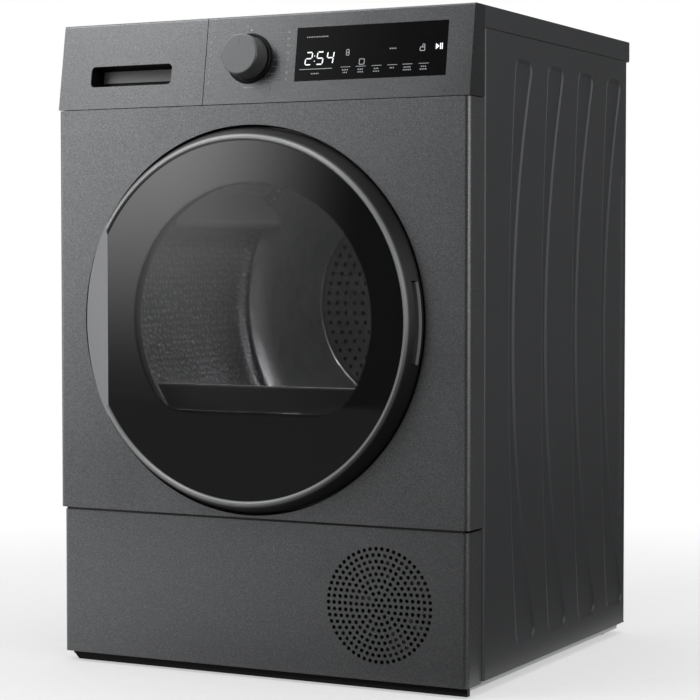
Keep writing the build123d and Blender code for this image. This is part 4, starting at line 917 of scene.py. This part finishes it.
@dataclass
class ControlPanel:
    """Print and lights on the display, and the numbers around the knob, in millimetres on the panel's face."""

    maker: PieceMaker
    plane: FasciaPlane = FasciaPlane()
    display_lift: float = 0.3
    clock: tuple[tuple[str, float], ...] = (("2", 70.0), ("5", 86.0), ("4", 100.5))
    clock_rise: float = 46.3
    digit_width: float = 8.6
    digit_half: float = 7.8
    digit_stroke: float = 1.5
    digit_slant: float = 0.12
    digit_gap: float = 0.5
    colon: Point = (82.4, 84.2)
    colon_rises: Point = (50.6, 57.2)
    colon_stroke: float = 1.6
    start_place: Point = (255.0, 62.0)
    start_half: float = 3.8
    start_arrow: Point = (-4.0, 1.0)
    pause_bars: Point = (1.6, 3.9)
    pause_width: float = 1.4
    clock_line: Triple = (62.5, 109.5, 40.5)
    clock_line_stroke: float = 0.6
    clock_labels: tuple[Triple, ...] = ((85.5, 34.6, 12.0), (86.0, 81.7, 31.0))
    columns: tuple[Triple, ...] = ((128.0, 9.0, 7.0), (149.5, 8.0, 8.5), (171.5, 7.0, 9.0), (193.0, 6.5, 0.0),
                                   (214.0, 10.5, 12.0), (236.0, 8.0, 10.0))
    column_half: float = 7.0
    column_line: float = 41.4
    column_line_stroke: float = 0.5
    column_rises: Point = (37.6, 34.2)
    dash_pitch: float = 2.4
    dash_share: float = 0.72
    dash_stroke: float = 2.0
    tall_sign: Point = (130.0, 59.8)
    tall_half: Point = (1.8, 3.6)
    square_sign: Point = (150.5, 47.2)
    square_half: float = 3.4
    row_sign: Triple = (193.0, 62.0, 10.0)
    lock_sign: Point = (233.0, 61.2)
    lock_body: tuple[float, ...] = (-3.2, -3.8, 3.2, 0.6)
    lock_bow: tuple[float, ...] = (0.2, 0.6, 3.0, 4.2)
    lock_stroke: float = 0.8
    sign_stroke: float = 0.7
    number_rows: int = 8
    number_rise: float = 28.5
    number_pitch: float = 8.8
    number_columns: Point = (-70.0, 44.0)
    number_size: float = 4.6
    leader_gap: float = 4.0
    leader_reach: float = 36.0
    leader_least: float = 6.0
    leader_stroke: float = 0.4
    knob_x: float = -11.0
    knob_rise: float = 58.0
    knob_face: float = 28.0
    top_tick: Triple = (93.5, 97.0, 1.2)
    foot_bar: Triple = (7.0, 20.5, 1.6)
    pointer_half: float = 0.9
    pointer_span: Point = (12.1, 20.9)
    groove_depth: float = 1.0
    pointer_height: float = 0.75

    def build(self) -> None:
        """Make every print on the panel."""
        self._clock()
        self._start_sign()
        self._labels()
        self._signs()
        self._legends()
        self._knob_mark()

    def _on_display(self, x: float = 0.0, rise: float = 0.0) -> Matrix:
        """Place axes on the display's face.

        Args:
            x: Distance to the right in millimetres.
            rise: Distance up the face in millimetres.

        Returns:
            Matrix from the local axes to the row frame.
        """
        return self.plane.at(x, rise, self.display_lift)

    def _digit(self, form: bmesh.types.BMesh, digit: str, x: float) -> None:
        """Add one digit of lit segments.

        Args:
            form: Mesh that takes the segments.
            digit: The digit.
            x: Left side in millimetres.
        """
        for letter in DIGITS[digit]:
            ends = []
            for across, up in SEGMENTS[letter]:
                height = up * self.digit_half
                ends.append(Vector((x + across * self.digit_width + height * self.digit_slant,
                                    self.clock_rise + height)))
            start, end = ends
            trim = (end - start).normalized() * self.digit_gap
            bar(form, self._on_display(), tuple(start + trim), tuple(end - trim), self.digit_stroke)

    def _clock(self) -> None:
        """Make the time in segments, with its colon."""
        form = bmesh.new()
        for digit, x in self.clock:
            self._digit(form, digit, x)
        left, right = self.colon
        for rise in self.colon_rises:
            bar(form, self._on_display(), (left, rise), (right, rise), self.colon_stroke)
        self.maker.add("display_clock", form, LIT_WHITE, "cabinet", "display_black")

    def _start_sign(self) -> None:
        """Make the start and pause sign."""
        form = bmesh.new()
        place, half = self._on_display(*self.start_place), self.start_half
        back, tip = self.start_arrow
        plate(form, [(back, -half), (tip, 0.0), (back, half)], place, LIT_HEIGHT)
        for x in self.pause_bars:
            plate(form, rectangle(x, -half, x + self.pause_width, half), place, LIT_HEIGHT)
        self.maker.add("display_start_sign", form, LIT_WHITE, "cabinet", "display_black")

    def _labels(self) -> None:
        """Make the plain lines and dashes that stand in the places of the labels."""
        form = bmesh.new()
        place = self._on_display()
        left, right, rise = self.clock_line
        bar(form, place, (left, rise), (right, rise), self.clock_line_stroke)
        for label in self.clock_labels:
            self._dashes(form, *label)
        for x, *lengths in self.columns:
            bar(form, place, (x - self.column_half, self.column_line), (x + self.column_half, self.column_line),
                self.column_line_stroke)
            for rise, length in zip(self.column_rises, lengths):
                if length:
                    self._dashes(form, x, rise, length)
        self.maker.add("display_labels", form, LIT_DIM, "cabinet", "display_black")

    def _dashes(self, form: bmesh.types.BMesh, x: float, rise: float, length: float) -> None:
        """Add a centred row of short dashes in a label's place.

        Args:
            form: Mesh that takes the dashes.
            x: Middle of the row in millimetres.
            rise: Height of the row in millimetres.
            length: Length of the row in millimetres.
        """
        count = max(2, round(length / self.dash_pitch))
        pitch = length / count
        for index in range(count):
            left = x - length / 2 + index * pitch
            bar(form, self._on_display(), (left, rise), (left + pitch * self.dash_share, rise), self.dash_stroke)

    def _signs(self) -> None:
        """Make the small outline signs of the display."""
        form = bmesh.new()
        tall, (wide, high) = self._on_display(*self.tall_sign), self.tall_half
        frame_outline(form, tall, rectangle(-wide, -high, wide, high), self.sign_stroke)
        bar(form, tall, (-wide, 0.0), (wide, 0.0), self.sign_stroke)
        half = self.square_half
        frame_outline(form, self._on_display(*self.square_sign), rectangle(-half, -half, half, half),
                      self.sign_stroke)
        self._dashes(form, *self.row_sign)
        lock = self._on_display(*self.lock_sign)
        frame_outline(form, lock, rectangle(*self.lock_body), self.lock_stroke)
        frame_outline(form, lock, rectangle(*self.lock_bow), self.sign_stroke)
        self.maker.add("display_signs", form, LIT_DIM, "cabinet", "display_black")

    def _legends(self) -> None:
        """Make the program numbers in two columns, each with a fine leader to the knob, and the knob's two marks."""
        form, leaders = bmesh.new(), bmesh.new()
        face, (left, right) = self.plane.at(0, 0), self.number_columns
        for row in range(self.number_rows):
            rise = self.number_rise + row * self.number_pitch
            offset = rise - self.knob_rise
            inner = math.sqrt(max(self.leader_reach ** 2 - offset ** 2, self.leader_least ** 2))
            for side, x, number in ((-1, left, self.number_rows - row), (1, right, self.number_rows + row + 1)):
                add_number(form, number, self.number_size, self.plane.at(x, rise))
                bar(leaders, face, (x - side * self.leader_gap, rise), (self.knob_x + side * inner, rise),
                    self.leader_stroke, INK_HEIGHT)
        low, high, stroke = self.top_tick
        bar(form, face, (self.knob_x, low), (self.knob_x, high), stroke, INK_HEIGHT)
        half, rise, stroke = self.foot_bar
        bar(form, face, (self.knob_x - half, rise), (self.knob_x + half, rise), stroke, INK_HEIGHT)
        self.maker.add("program_numbers", form, PRINT_PALE, "cabinet", "dark_trim")
        self.maker.add("program_leaders", leaders, PRINT_FAINT, "cabinet", "dark_trim")

    def _knob_mark(self) -> None:
        """Fill the groove in the knob's face with a pale pointer."""
        form = bmesh.new()
        place = self.plane.at(self.knob_x, self.knob_rise, self.knob_face - self.groove_depth)
        low, high = self.pointer_span
        plate(form, rectangle(-self.pointer_half, low, self.pointer_half, high), place, self.pointer_height)
        self.maker.add("knob_pointer", form, PRINT_FAINT, "program_knob", "knob_silver")


@dataclass
class PanelSeals:
    """Black strips behind the level gaps over and under the front panel: painted shade in those gaps."""

    maker: PieceMaker
    half: float = 292.0
    upper: Point = (736.1, 736.9)
    lower: Point = (203.7, 206.8)
    depth: Point = (-272.5, -266.0)

    def build(self) -> None:
        """Make both strips."""
        form = bmesh.new()
        front, back = self.depth
        for low, high in (self.upper, self.lower):
            # Near-black strips: painted shade that darkens the gaps.
            plate(form, rectangle(-self.half, low, self.half, high), upright(0, back, 0), back - front)
        face_out(form)
        self.maker.add("panel_gap_shade_strips", form, RUBBER_AND_GAP_SHADE, "cabinet", "rubber_black")


@dataclass
class DrawerPull:
    """Black liner of the drawer front's pull pocket, and the painted plate at its back."""

    maker: PieceMaker
    plane: FasciaPlane = FasciaPlane()
    left: float = -252.0
    right: float = -127.0
    low: float = 29.5
    high: float = 57.0
    corner: float = 6.0
    corner_steps: int = 6
    floor: float = 23.4
    edge: float = 1.2
    fit: float = 0.15
    wall: float = 0.4
    plate_low: float = 38.5
    plate_high: float = 55.0
    plate_thickness: float = 1.5
    plate_round: float = 0.45
    round_steps: int = 2

    def build(self) -> None:
        """Make the liner and the plate."""
        self._liner()
        self._back_plate()

    def _liner(self) -> None:
        """Make the liner as an open box with round corners, a little below the face."""
        form = bmesh.new()
        place = self.plane.at((self.left + self.right) / 2, (self.low + self.high) / 2, -self.floor)
        wide, high = (self.right - self.left) / 2 - self.fit, (self.high - self.low) / 2 - self.fit
        corners = [form.verts.new((x * MM, y * MM, 0)) for x, y in rectangle(-wide, -high, wide, high)]
        form.faces.new(corners)
        bmesh.ops.bevel(form, geom=corners, offset=(self.corner - self.fit) * MM, affect="VERTICES",
                        segments=self.corner_steps, profile=0.5, material=-1)
        rim = [edge for edge in form.edges if edge.is_boundary]
        lift_grown(form, bmesh.ops.extrude_edge_only(form, edges=rim), self.floor - self.edge)
        face_out(form)
        thicken(form, self.wall)
        bmesh.ops.transform(form, matrix=place, verts=form.verts)
        self.maker.add("drawer_pull_liner", form, BLACK_AND_PAINTED_SHADE, "tank_drawer", "dark_trim")

    def _back_plate(self) -> None:
        """Make the painted plate at the back of the pocket."""
        form = bmesh.new()
        place = self.plane.at((self.left + self.right) / 2, 0, self.wall + self.fit - self.floor)
        half = (self.right - self.left) / 2 - self.corner
        plate(form, rectangle(-half, self.plate_low, half, self.plate_high), place, self.plate_thickness)
        rims = [edge for edge in form.edges if edge.calc_face_angle(0.0) > self.maker.crease]
        round_edges(form, rims, self.plate_round, self.round_steps)
        face_out(form)
        self.maker.add("drawer_pull_plate", form, PULL_PLATE, "tank_drawer", "dark_trim")


@dataclass
class DoorWindow:
    """Crowned door glass without a seam, and the sill at the foot of the inner window."""

    maker: PieceMaker
    centre: Point = (-8.0, 460.0)
    face: float = -297.0
    crown: float = 2.0
    radius: float = 229.0
    thickness: float = 4.0
    chord: float = -209.0
    rings: int = 12
    steps: int = 180
    sill_depth: Point = (-262.0, -254.5)
    sill_rise: Point = (342.5, 373.0)
    sill_half: Point = (128.0, 146.0)
    bead: float = 3.0
    bead_round: float = 0.9
    round_steps: int = 3

    def build(self) -> None:
        """Make the glass and the sill."""
        self._glass()
        self._sill()

    def _glass(self) -> None:
        """Turn the crowned sheet, cut its hinge side straight and close the cut."""
        profile = [(self.face - self.crown * (1 - (index / self.rings) ** 2), self.radius * index / self.rings)
                   for index in range(self.rings + 1)]
        back = self.face + self.thickness
        form = turned(profile + [(back, self.radius), (back, 0.0)], self.centre, self.steps)
        cut = bmesh.ops.bisect_plane(form, geom=form.verts[:] + form.edges[:] + form.faces[:],
                                     plane_co=(self.chord * MM, 0, 0), plane_no=(-1, 0, 0), clear_outer=True)
        bmesh.ops.holes_fill(form, edges=[item for item in cut["geom_cut"] if isinstance(item, bmesh.types.BMEdge)])
        face_out(form)
        glass = self.maker.add("door_glass_sheet", form, DOOR_GLASS, "door", "tinted_glass", smooth=True)
        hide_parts("door_glass")

    def _sill(self) -> None:
        """Make the dark sill, and the bead along its top whose pale colour is a painted highlight."""
        front, back = self.sill_depth
        low, high = self.sill_rise
        narrow, wide = self.sill_half
        place = upright(self.centre[0], back, 0)
        form = bmesh.new()
        plate(form, [(-narrow, low), (narrow, low), (wide, high), (-wide, high)], place, back - front)
        face_out(form)
        self.maker.add("window_sill", form, SILL_PLASTIC, "door", "black_plastic")
        bead = bmesh.new()
        plate(bead, rectangle(-wide, high, wide, high + self.bead), place, back - front)
        face_out(bead)
        round_edges(bead, bead.edges[:], self.bead_round, self.round_steps)
        # Pale bead: a painted highlight along the sill's top.
        self.maker.add("window_sill_highlight_bead", bead, PALE_PLASTIC_AND_HIGHLIGHT, "door", "grey_plastic", smooth=True)


@dataclass
class GripLiner:
    """Grey liner of the grip pocket in the opening side of the door ring, and its back edge, whose pale colour is a
    painted highlight.
    """

    maker: PieceMaker
    centre: Point = (-8.0, 460.0)
    half: float = 51.6
    steps: int = 24
    front: float = -288.3
    back: float = -277.1
    floor: float = 232.1
    step: float = 241.5
    rim: float = 245.2
    wall: float = 0.7

    def build(self) -> None:
        """Make the liner, with its floor and back wall, and the edge beyond it."""
        inner, face = self.floor + self.wall, self.back - self.wall
        liner = [(self.floor, self.front), (inner, self.front), (inner, face), (self.step, face),
                 (self.step, self.back), (self.floor, self.back)]
        edge = rectangle(self.step, face, self.rim, self.back)
        self.maker.add("grip_liner", self._bow(liner), PULL_PLATE, "door", "dark_trim", smooth=True)
        self.maker.add("grip_edge_highlight", self._bow(edge), GRIP_HIGHLIGHT, "door", "dark_trim", smooth=True)

    def _bow(self, section: list[Point]) -> bmesh.types.BMesh:
        """Sweep a section along the arc of the pocket.

        Args:
            section: Corners as radius and depth in millimetres.

        Returns:
            The closed bow.
        """
        form = bmesh.new()
        reach = math.asin(self.half / self.rim)
        start = Matrix.Rotation(reach, 3, "Y")
        corners = [form.verts.new(start @ Vector((radius * MM, depth * MM, 0))) for radius, depth in section]
        bmesh.ops.spin(form, geom=[form.faces.new(corners)], cent=(0, 0, 0), axis=(0, 1, 0), angle=-2 * reach,
                       steps=self.steps)
        face_out(form)
        bmesh.ops.translate(form, verts=form.verts, vec=(self.centre[0] * MM, 0, self.centre[1] * MM))
        return form


@dataclass
class DrumCove:
    """Smooth dished ring at the back of the drum, with a rolled bead at each end.

    Its ends are given as depth and radius, and between them it follows an arc whose slope goes through the two angles.
    """

    maker: PieceMaker
    centre: Point = (0.0, 474.0)
    outer: Point = (166.0, 266.0)
    inner: Point = (192.5, 160.0)
    sweep: float = 96.8
    slopes: Point = (42.0, 4.0)
    bead: float = 4.0
    bead_steps: int = 6
    arc_steps: int = 16
    turn_steps: int = 144
    sheet: float = 0.6

    def build(self) -> None:
        """Turn the dish and give it its thickness."""
        depth, radius = self.outer
        profile = self._rolled(depth, radius - self.bead)
        steep, flat = (math.radians(slope) for slope in self.slopes)
        for index in range(1, self.arc_steps + 1):
            slope = steep + (flat - steep) * index / self.arc_steps
            profile.append((depth + self.sweep * (math.cos(slope) - math.cos(steep)),
                            radius - self.sweep * (math.sin(steep) - math.sin(slope))))
        profile += self._rolled(self.inner[0] - self.bead / 2, self.inner[1] - 2 * self.bead)[::-1]
        form = turned(profile, self.centre, self.turn_steps)
        thicken(form, self.sheet)
        self.maker.add("drum_cove", form, COVE_STEEL, "drum", "drum_steel", smooth=True)

    def _rolled(self, depth: float, radius: float) -> list[Point]:
        """Give the section of a rolled bead that stands in from the sheet.

        Args:
            depth: Depth of the bead's front in millimetres.
            radius: Radius of its top in millimetres.

        Returns:
            Depth and radius of each point.
        """
        half = self.bead / 2
        turns = (math.pi * index / self.bead_steps for index in range(self.bead_steps + 1))
        return [(depth + half - half * math.cos(turn), radius + half - half * math.sin(turn)) for turn in turns]


@dataclass
class AirInlet:
    """Perforated sheet in front of the warm air inlet, and a near-black disc of painted shade behind its outer holes.
    """

    maker: PieceMaker
    centre: Point = (0.0, 474.0)
    back: float = 198.2
    thickness: float = 2.0
    radius: float = 150.0
    rim_steps: int = 120
    pitch: float = 14.2
    hole: float = 3.6
    hole_sides: int = 6
    holes_per_ring: int = 6
    rings: range = range(2, 11)
    # Near-black disc behind the outer holes: painted shade that makes them look dark.
    lining: Point = (113.0, 148.0)
    lining_depth: float = 198.5
    lining_sheet: float = 0.3
    lining_steps: int = 96

    def build(self) -> None:
        """Make the sheet and the disc of painted shade behind it."""
        self._sheet()
        lining = turned([(self.lining_depth, radius) for radius in self.lining], self.centre, self.lining_steps)
        thicken(lining, self.lining_sheet)
        self.maker.add("air_inlet_shade_disc", lining, BLACK_AND_PAINTED_SHADE, "cabinet", "black_plastic")

    def _sheet(self) -> None:
        """Punch the sheet in rings and thicken it."""
        form = bmesh.new()
        bmesh.ops.create_circle(form, segments=self.rim_steps, radius=self.radius * MM)
        for ring in self.rings:
            count = self.holes_per_ring * ring
            for index in range(count):
                turn = Matrix.Rotation(math.tau * index / count, 4, "Z")
                bmesh.ops.create_circle(form, segments=self.hole_sides, radius=self.hole * MM,
                                        matrix=turn @ Matrix.Translation((self.pitch * ring * MM, 0, 0)))
        bmesh.ops.triangle_fill(form, use_beauty=True, edges=form.edges[:])
        lift_grown(form, bmesh.ops.extrude_face_region(form, geom=form.faces[:]), self.thickness)
        face_out(form)
        place = upright(self.centre[0], self.back, self.centre[1])
        bmesh.ops.transform(form, matrix=place, verts=form.verts)
        sheet = self.maker.add("air_inlet_sheet", form, DARK_ZINC, "cabinet", "drum_steel")
        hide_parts("air_inlet_plate")


@dataclass
class RearScrews:
    """Domed screws that hold the rear panel and the duct cover."""

    maker: PieceMaker
    panel_face: float = 277.0
    side_columns: Point = (-287.0, 287.0)
    side_rises: tuple[float, ...] = (70.0, 255.0, 440.0, 625.0, 795.0)
    top_columns: tuple[float, ...] = (-140.0, 0.0, 140.0)
    top_rise: float = 812.0
    cover_face: float = 278.5
    duct_ends: tuple[tuple[Point, float], ...] = (((60.0, 115.0), 104.0), ((0.0, 474.0), 156.0))
    duct_angles: tuple[tuple[float, ...], ...] = ((200.0, 270.0, 340.0), (20.0, 90.0, 160.0))
    head: float = 4.2
    rise: float = 2.0
    dome: tuple[Point, ...] = ((1.0, 0.0), (1.0, 0.5), (0.75, 0.85), (0.3, 1.0))
    steps: int = 20

    def build(self) -> None:
        """Make the screws of the panel and of the duct cover."""
        form = bmesh.new()
        for x in self.side_columns:
            for z in self.side_rises:
                self._screw(form, x, self.panel_face, z)
        for x in self.top_columns:
            self._screw(form, x, self.panel_face, self.top_rise)
        for (centre, radius), angles in zip(self.duct_ends, self.duct_angles):
            for turn in map(math.radians, angles):
                self._screw(form, centre[0] + radius * math.cos(turn), self.cover_face,
                            centre[1] + radius * math.sin(turn))
        self.maker.add("rear_screws", form, TURNED, "cabinet", "zinc_steel", smooth=True)

    def _screw(self, form: bmesh.types.BMesh, x: float, y: float, z: float) -> None:
        """Add one domed head that faces the back.

        Args:
            form: Mesh that takes the head.
            x: Place to the right in millimetres.
            y: Face that the head sits on, in millimetres.
            z: Height in millimetres.
        """
        head = bmesh.new()
        profile = [head.verts.new((across * self.head * MM, 0, up * self.rise * MM)) for across, up in self.dome]
        edges = [head.edges.new(pair) for pair in zip(profile, profile[1:])]
        bmesh.ops.spin(head, geom=profile + edges, axis=(0, 0, 1), cent=(0, 0, 0), angle=math.tau, steps=self.steps,
                       use_merge=True)
        bmesh.ops.holes_fill(head, edges=[edge for edge in head.edges if edge.is_boundary])
        face_out(head)
        place = Matrix.Translation((x * MM, y * MM, z * MM)) @ Matrix.Rotation(math.radians(-90), 4, "X")
        bmesh.ops.transform(head, matrix=place, verts=head.verts)
        mesh = bpy.data.meshes.new("screw_head")
        head.to_mesh(mesh)
        head.free()
        form.from_mesh(mesh)
        bpy.data.meshes.remove(mesh)


@dataclass(frozen=True)
class ReflectorBoard:
    """A studio board whose light grows along one axis and upwards, and changes again towards its crown, in metres."""

    name: str
    centre: Triple
    width: float
    height: float
    upright: bool
    turn: float
    side_axis: str
    side_span: Point
    rise_span: Point
    low: float
    high: float
    crown_span: Point = (1.2, 3.0)
    crown: float = 1.0
    crown_axis: str = "Z"
    foot: float = 0.0

    def build(self) -> None:
        """Stand the board, which only reflections see."""
        form = bmesh.new()
        bmesh.ops.create_grid(form, x_segments=1, y_segments=1, size=0.5)
        bmesh.ops.scale(form, vec=(self.width, self.height, 1.0), verts=form.verts)
        if self.upright:
            bmesh.ops.rotate(form, matrix=Matrix.Rotation(math.radians(90), 3, "X"), verts=form.verts)
        bmesh.ops.rotate(form, matrix=Matrix.Rotation(math.radians(self.turn), 3, "Z"), verts=form.verts)
        bmesh.ops.translate(form, vec=self.centre, verts=form.verts)
        piece = stand_object(self.name, form)
        for rays in ("camera", "diffuse", "shadow", "transmission"):
            setattr(piece, "visible_" + rays, False)
        piece.data.materials.append(self._material())

    def _material(self) -> bpy.types.Material:
        """Make the board's gradient.

        Returns:
            A material that shines from low to high along its spans.
        """
        surface = Surface(self.name)
        axes = surface.axes()
        share = surface.span(axes[self.side_axis], self.side_span, smooth=True)
        ramps = (("Z", self.rise_span, (self.foot, 1.0)), (self.crown_axis, self.crown_span, (1.0, self.crown)))
        for axis, span, ends in ramps:
            share = surface.calc("MULTIPLY", share, surface.span(axes[axis], span, ends, smooth=True))
        shine = surface.add("Emission", Strength=surface.span(share, (0.0, 1.0), (self.low, self.high)))
        surface.show(shine.outputs["Emission"])
        return surface.material


BOARDS: tuple[ReflectorBoard, ...] = (
    ReflectorBoard("front_board", (-1.5, -4.2, 2.5), 12.0, 6.0, True, 0.0, "X", (-1.7, -2.7), (0.0, 1.3), 0.03, 3.4,
                   (1.1, 2.6), 0.55, foot=0.05),
    ReflectorBoard("front_floor_board", (-1.5, -2.25, 0.0005), 12.0, 3.9, False, 0.0, "X", (0.3, -0.9), (-1.0, -0.3),
                   0.03, 1.0, (-0.8, -1.7), 0.12, "Y"),
    ReflectorBoard("side_board", (1.75, 2.79, 1.5), 2.65, 6.0, True, -30.0, "Y", (0.0, 4.0), (-0.5, 3.5), 0.05, 0.1),
    ReflectorBoard("side_floor_board", (1.7, 1.4, 0.0005), 2.7, 4.0, False, 0.0, "Y", (0.0, 4.0), (-0.5, 3.5), 0.05,
                   0.05),
    ReflectorBoard("ceiling_board", (-0.5, 0.0, 4.2), 12.0, 9.0, False, 0.0, "X", (-0.2, -2.2), (3.0, 4.0), 0.45, 1.4),
)


@dataclass(frozen=True)
class SoftLamp:
    """A square lamp, with its place, aim and size in metres and its power in watts."""

    name: str
    place: Triple
    aim: Triple
    size: float
    power: float

    def build(self) -> None:
        """Stand the lamp."""
        data = bpy.data.lights.new(self.name, "AREA")
        data.size = self.size
        data.energy = self.power
        lamp = bpy.data.objects.new(self.name, data)
        lamp.location = self.place
        lamp.rotation_euler = (Vector(self.aim) - Vector(self.place)).to_track_quat("-Z", "Y").to_euler()
        bpy.context.scene.collection.objects.link(lamp)


LAMPS: tuple[SoftLamp, ...] = (
    SoftLamp("key_lamp", (-2.2, -2.1, 2.9), (0.0, -0.2, 0.5), 1.8, 45.0),
    SoftLamp("top_lamp", (0.3, 0.2, 3.2), (0.0, 0.0, 0.5), 2.4, 45.0),
    SoftLamp("left_lamp", (-1.3, -1.0, 0.45), (-0.3, -0.28, 0.4), 0.5, 1.3),
    SoftLamp("fill_lamp", (2.8, -0.8, 1.2), (0.0, 0.0, 0.45), 1.5, 13.0),
    SoftLamp("drum_lamp", (0.09, -0.13, 0.69), (-0.05, 0.14, 0.33), 0.06, 2.0),
)


@dataclass
class Studio:
    """Floor, world, boards, lamps and camera, in metres."""

    floor_size: float = 14.0
    floor_level: float = -0.0005
    floor_grain: float = 40.0
    floor_tones: tuple[Colour, Colour] = ((0.86, 0.86, 0.86), (0.89, 0.89, 0.89))
    floor_bounce: Colour = (0.25, 0.25, 0.25)
    floor_roughness: float = 0.9
    floor_specular: float = 0.1
    shadow_reach: Point = (0.75, 1.6)
    near_white: float = 0.5
    world_light: float = 0.4
    white: tuple[float, ...] = (1.0, 1.0, 1.0, 1.0)
    camera_place: Triple = (1.37454, -2.67366, 0.53358)
    camera_tilt: float = 87.70
    camera_turn: float = 27.29
    lens: float = 111.24
    sensor: float = 36.0

    def build(self) -> None:
        """Make the whole stage."""
        self._floor()
        self._world()
        for fitting in (*BOARDS, *LAMPS):
            fitting.build()
        self._camera()
        bpy.context.scene.view_settings.view_transform = "Standard"

    def _floor(self) -> None:
        """Make the pale floor that takes the shadow and turns white away from the object."""
        form = bmesh.new()
        bmesh.ops.create_grid(form, x_segments=2, y_segments=2, size=self.floor_size)
        floor = stand_object("studio_floor", form)
        floor.location.z = self.floor_level
        surface = Surface("floor_paper")
        paper = surface.blend(surface.group(fine_grain(), Scale=self.floor_grain)["Tone"], *self.floor_tones)
        in_view = surface.add("LightPath").outputs["Is Camera Ray"]
        surface.dress(Base_Color=surface.blend(in_view, self.floor_bounce, paper), Roughness=self.floor_roughness,
                      Specular_IOR_Level=self.floor_specular)
        reach = surface.calc("LENGTH", surface.place, kind="VectorMath")
        fade = surface.span(reach, self.shadow_reach, (self.near_white, 1.0), smooth=True)
        share = surface.calc("MULTIPLY", fade, self._background_rays(surface))
        white = surface.add("Emission").outputs["Emission"]
        surface.show(surface.blend_shaders(share, surface.shader.outputs["BSDF"], white))
        floor.data.materials.append(surface.material)

    @staticmethod
    def _background_rays(bench: NodeBench) -> Socket:
        """Pick out the rays that see the background: from the camera, a reflection or through glass.

        Args:
            bench: Tree that takes the nodes.

        Returns:
            Socket that is 1 for those rays.
        """
        rays = bench.add("LightPath").outputs
        mirrored = bench.calc("MAXIMUM", rays["Is Camera Ray"], rays["Is Glossy Ray"])
        return bench.calc("MAXIMUM", mirrored, rays["Is Transmission Ray"])

    def _world(self) -> None:
        """Make the world white to the eye, with a soft grey light from it."""
        world = bpy.data.worlds.new("studio_world")
        bpy.context.scene.world = world
        world.use_nodes = True
        bench = NodeBench(world.node_tree)
        plain = bench.tree.nodes["Background"]
        bench.feed_named(plain, {"Color": self.white, "Strength": self.world_light})
        seen = bench.add("Background", Color=self.white, Strength=1.0)
        both = bench.blend_shaders(self._background_rays(bench), plain.outputs["Background"],
                                   seen.outputs["Background"])
        bench.feed(bench.tree.nodes["World Output"].inputs["Surface"], both)

    def _camera(self) -> None:
        """Stand the camera where the photograph was taken."""
        data = bpy.data.cameras.new("camera")
        data.lens = self.lens
        data.sensor_width = self.sensor
        camera = bpy.data.objects.new("camera", data)
        camera.location = self.camera_place
        camera.rotation_euler = (math.radians(self.camera_tilt), 0.0, math.radians(self.camera_turn))
        bpy.context.scene.collection.objects.link(camera)
        bpy.context.scene.camera = camera


def main() -> None:
    """Build the dressed dryer and its studio."""
    logging.basicConfig(level=logging.INFO, format="%(message)s")
    shelf = FinishShelf()
    shelf.dress_nodes()
    maker = PieceMaker(shelf)
    for assembly in (ControlPanel, PanelSeals, DrawerPull, DoorWindow, GripLiner, DrumCove, AirInlet, RearScrews):
        assembly(maker).build()
    Studio().build()


if __name__ == "__main__":
    main()
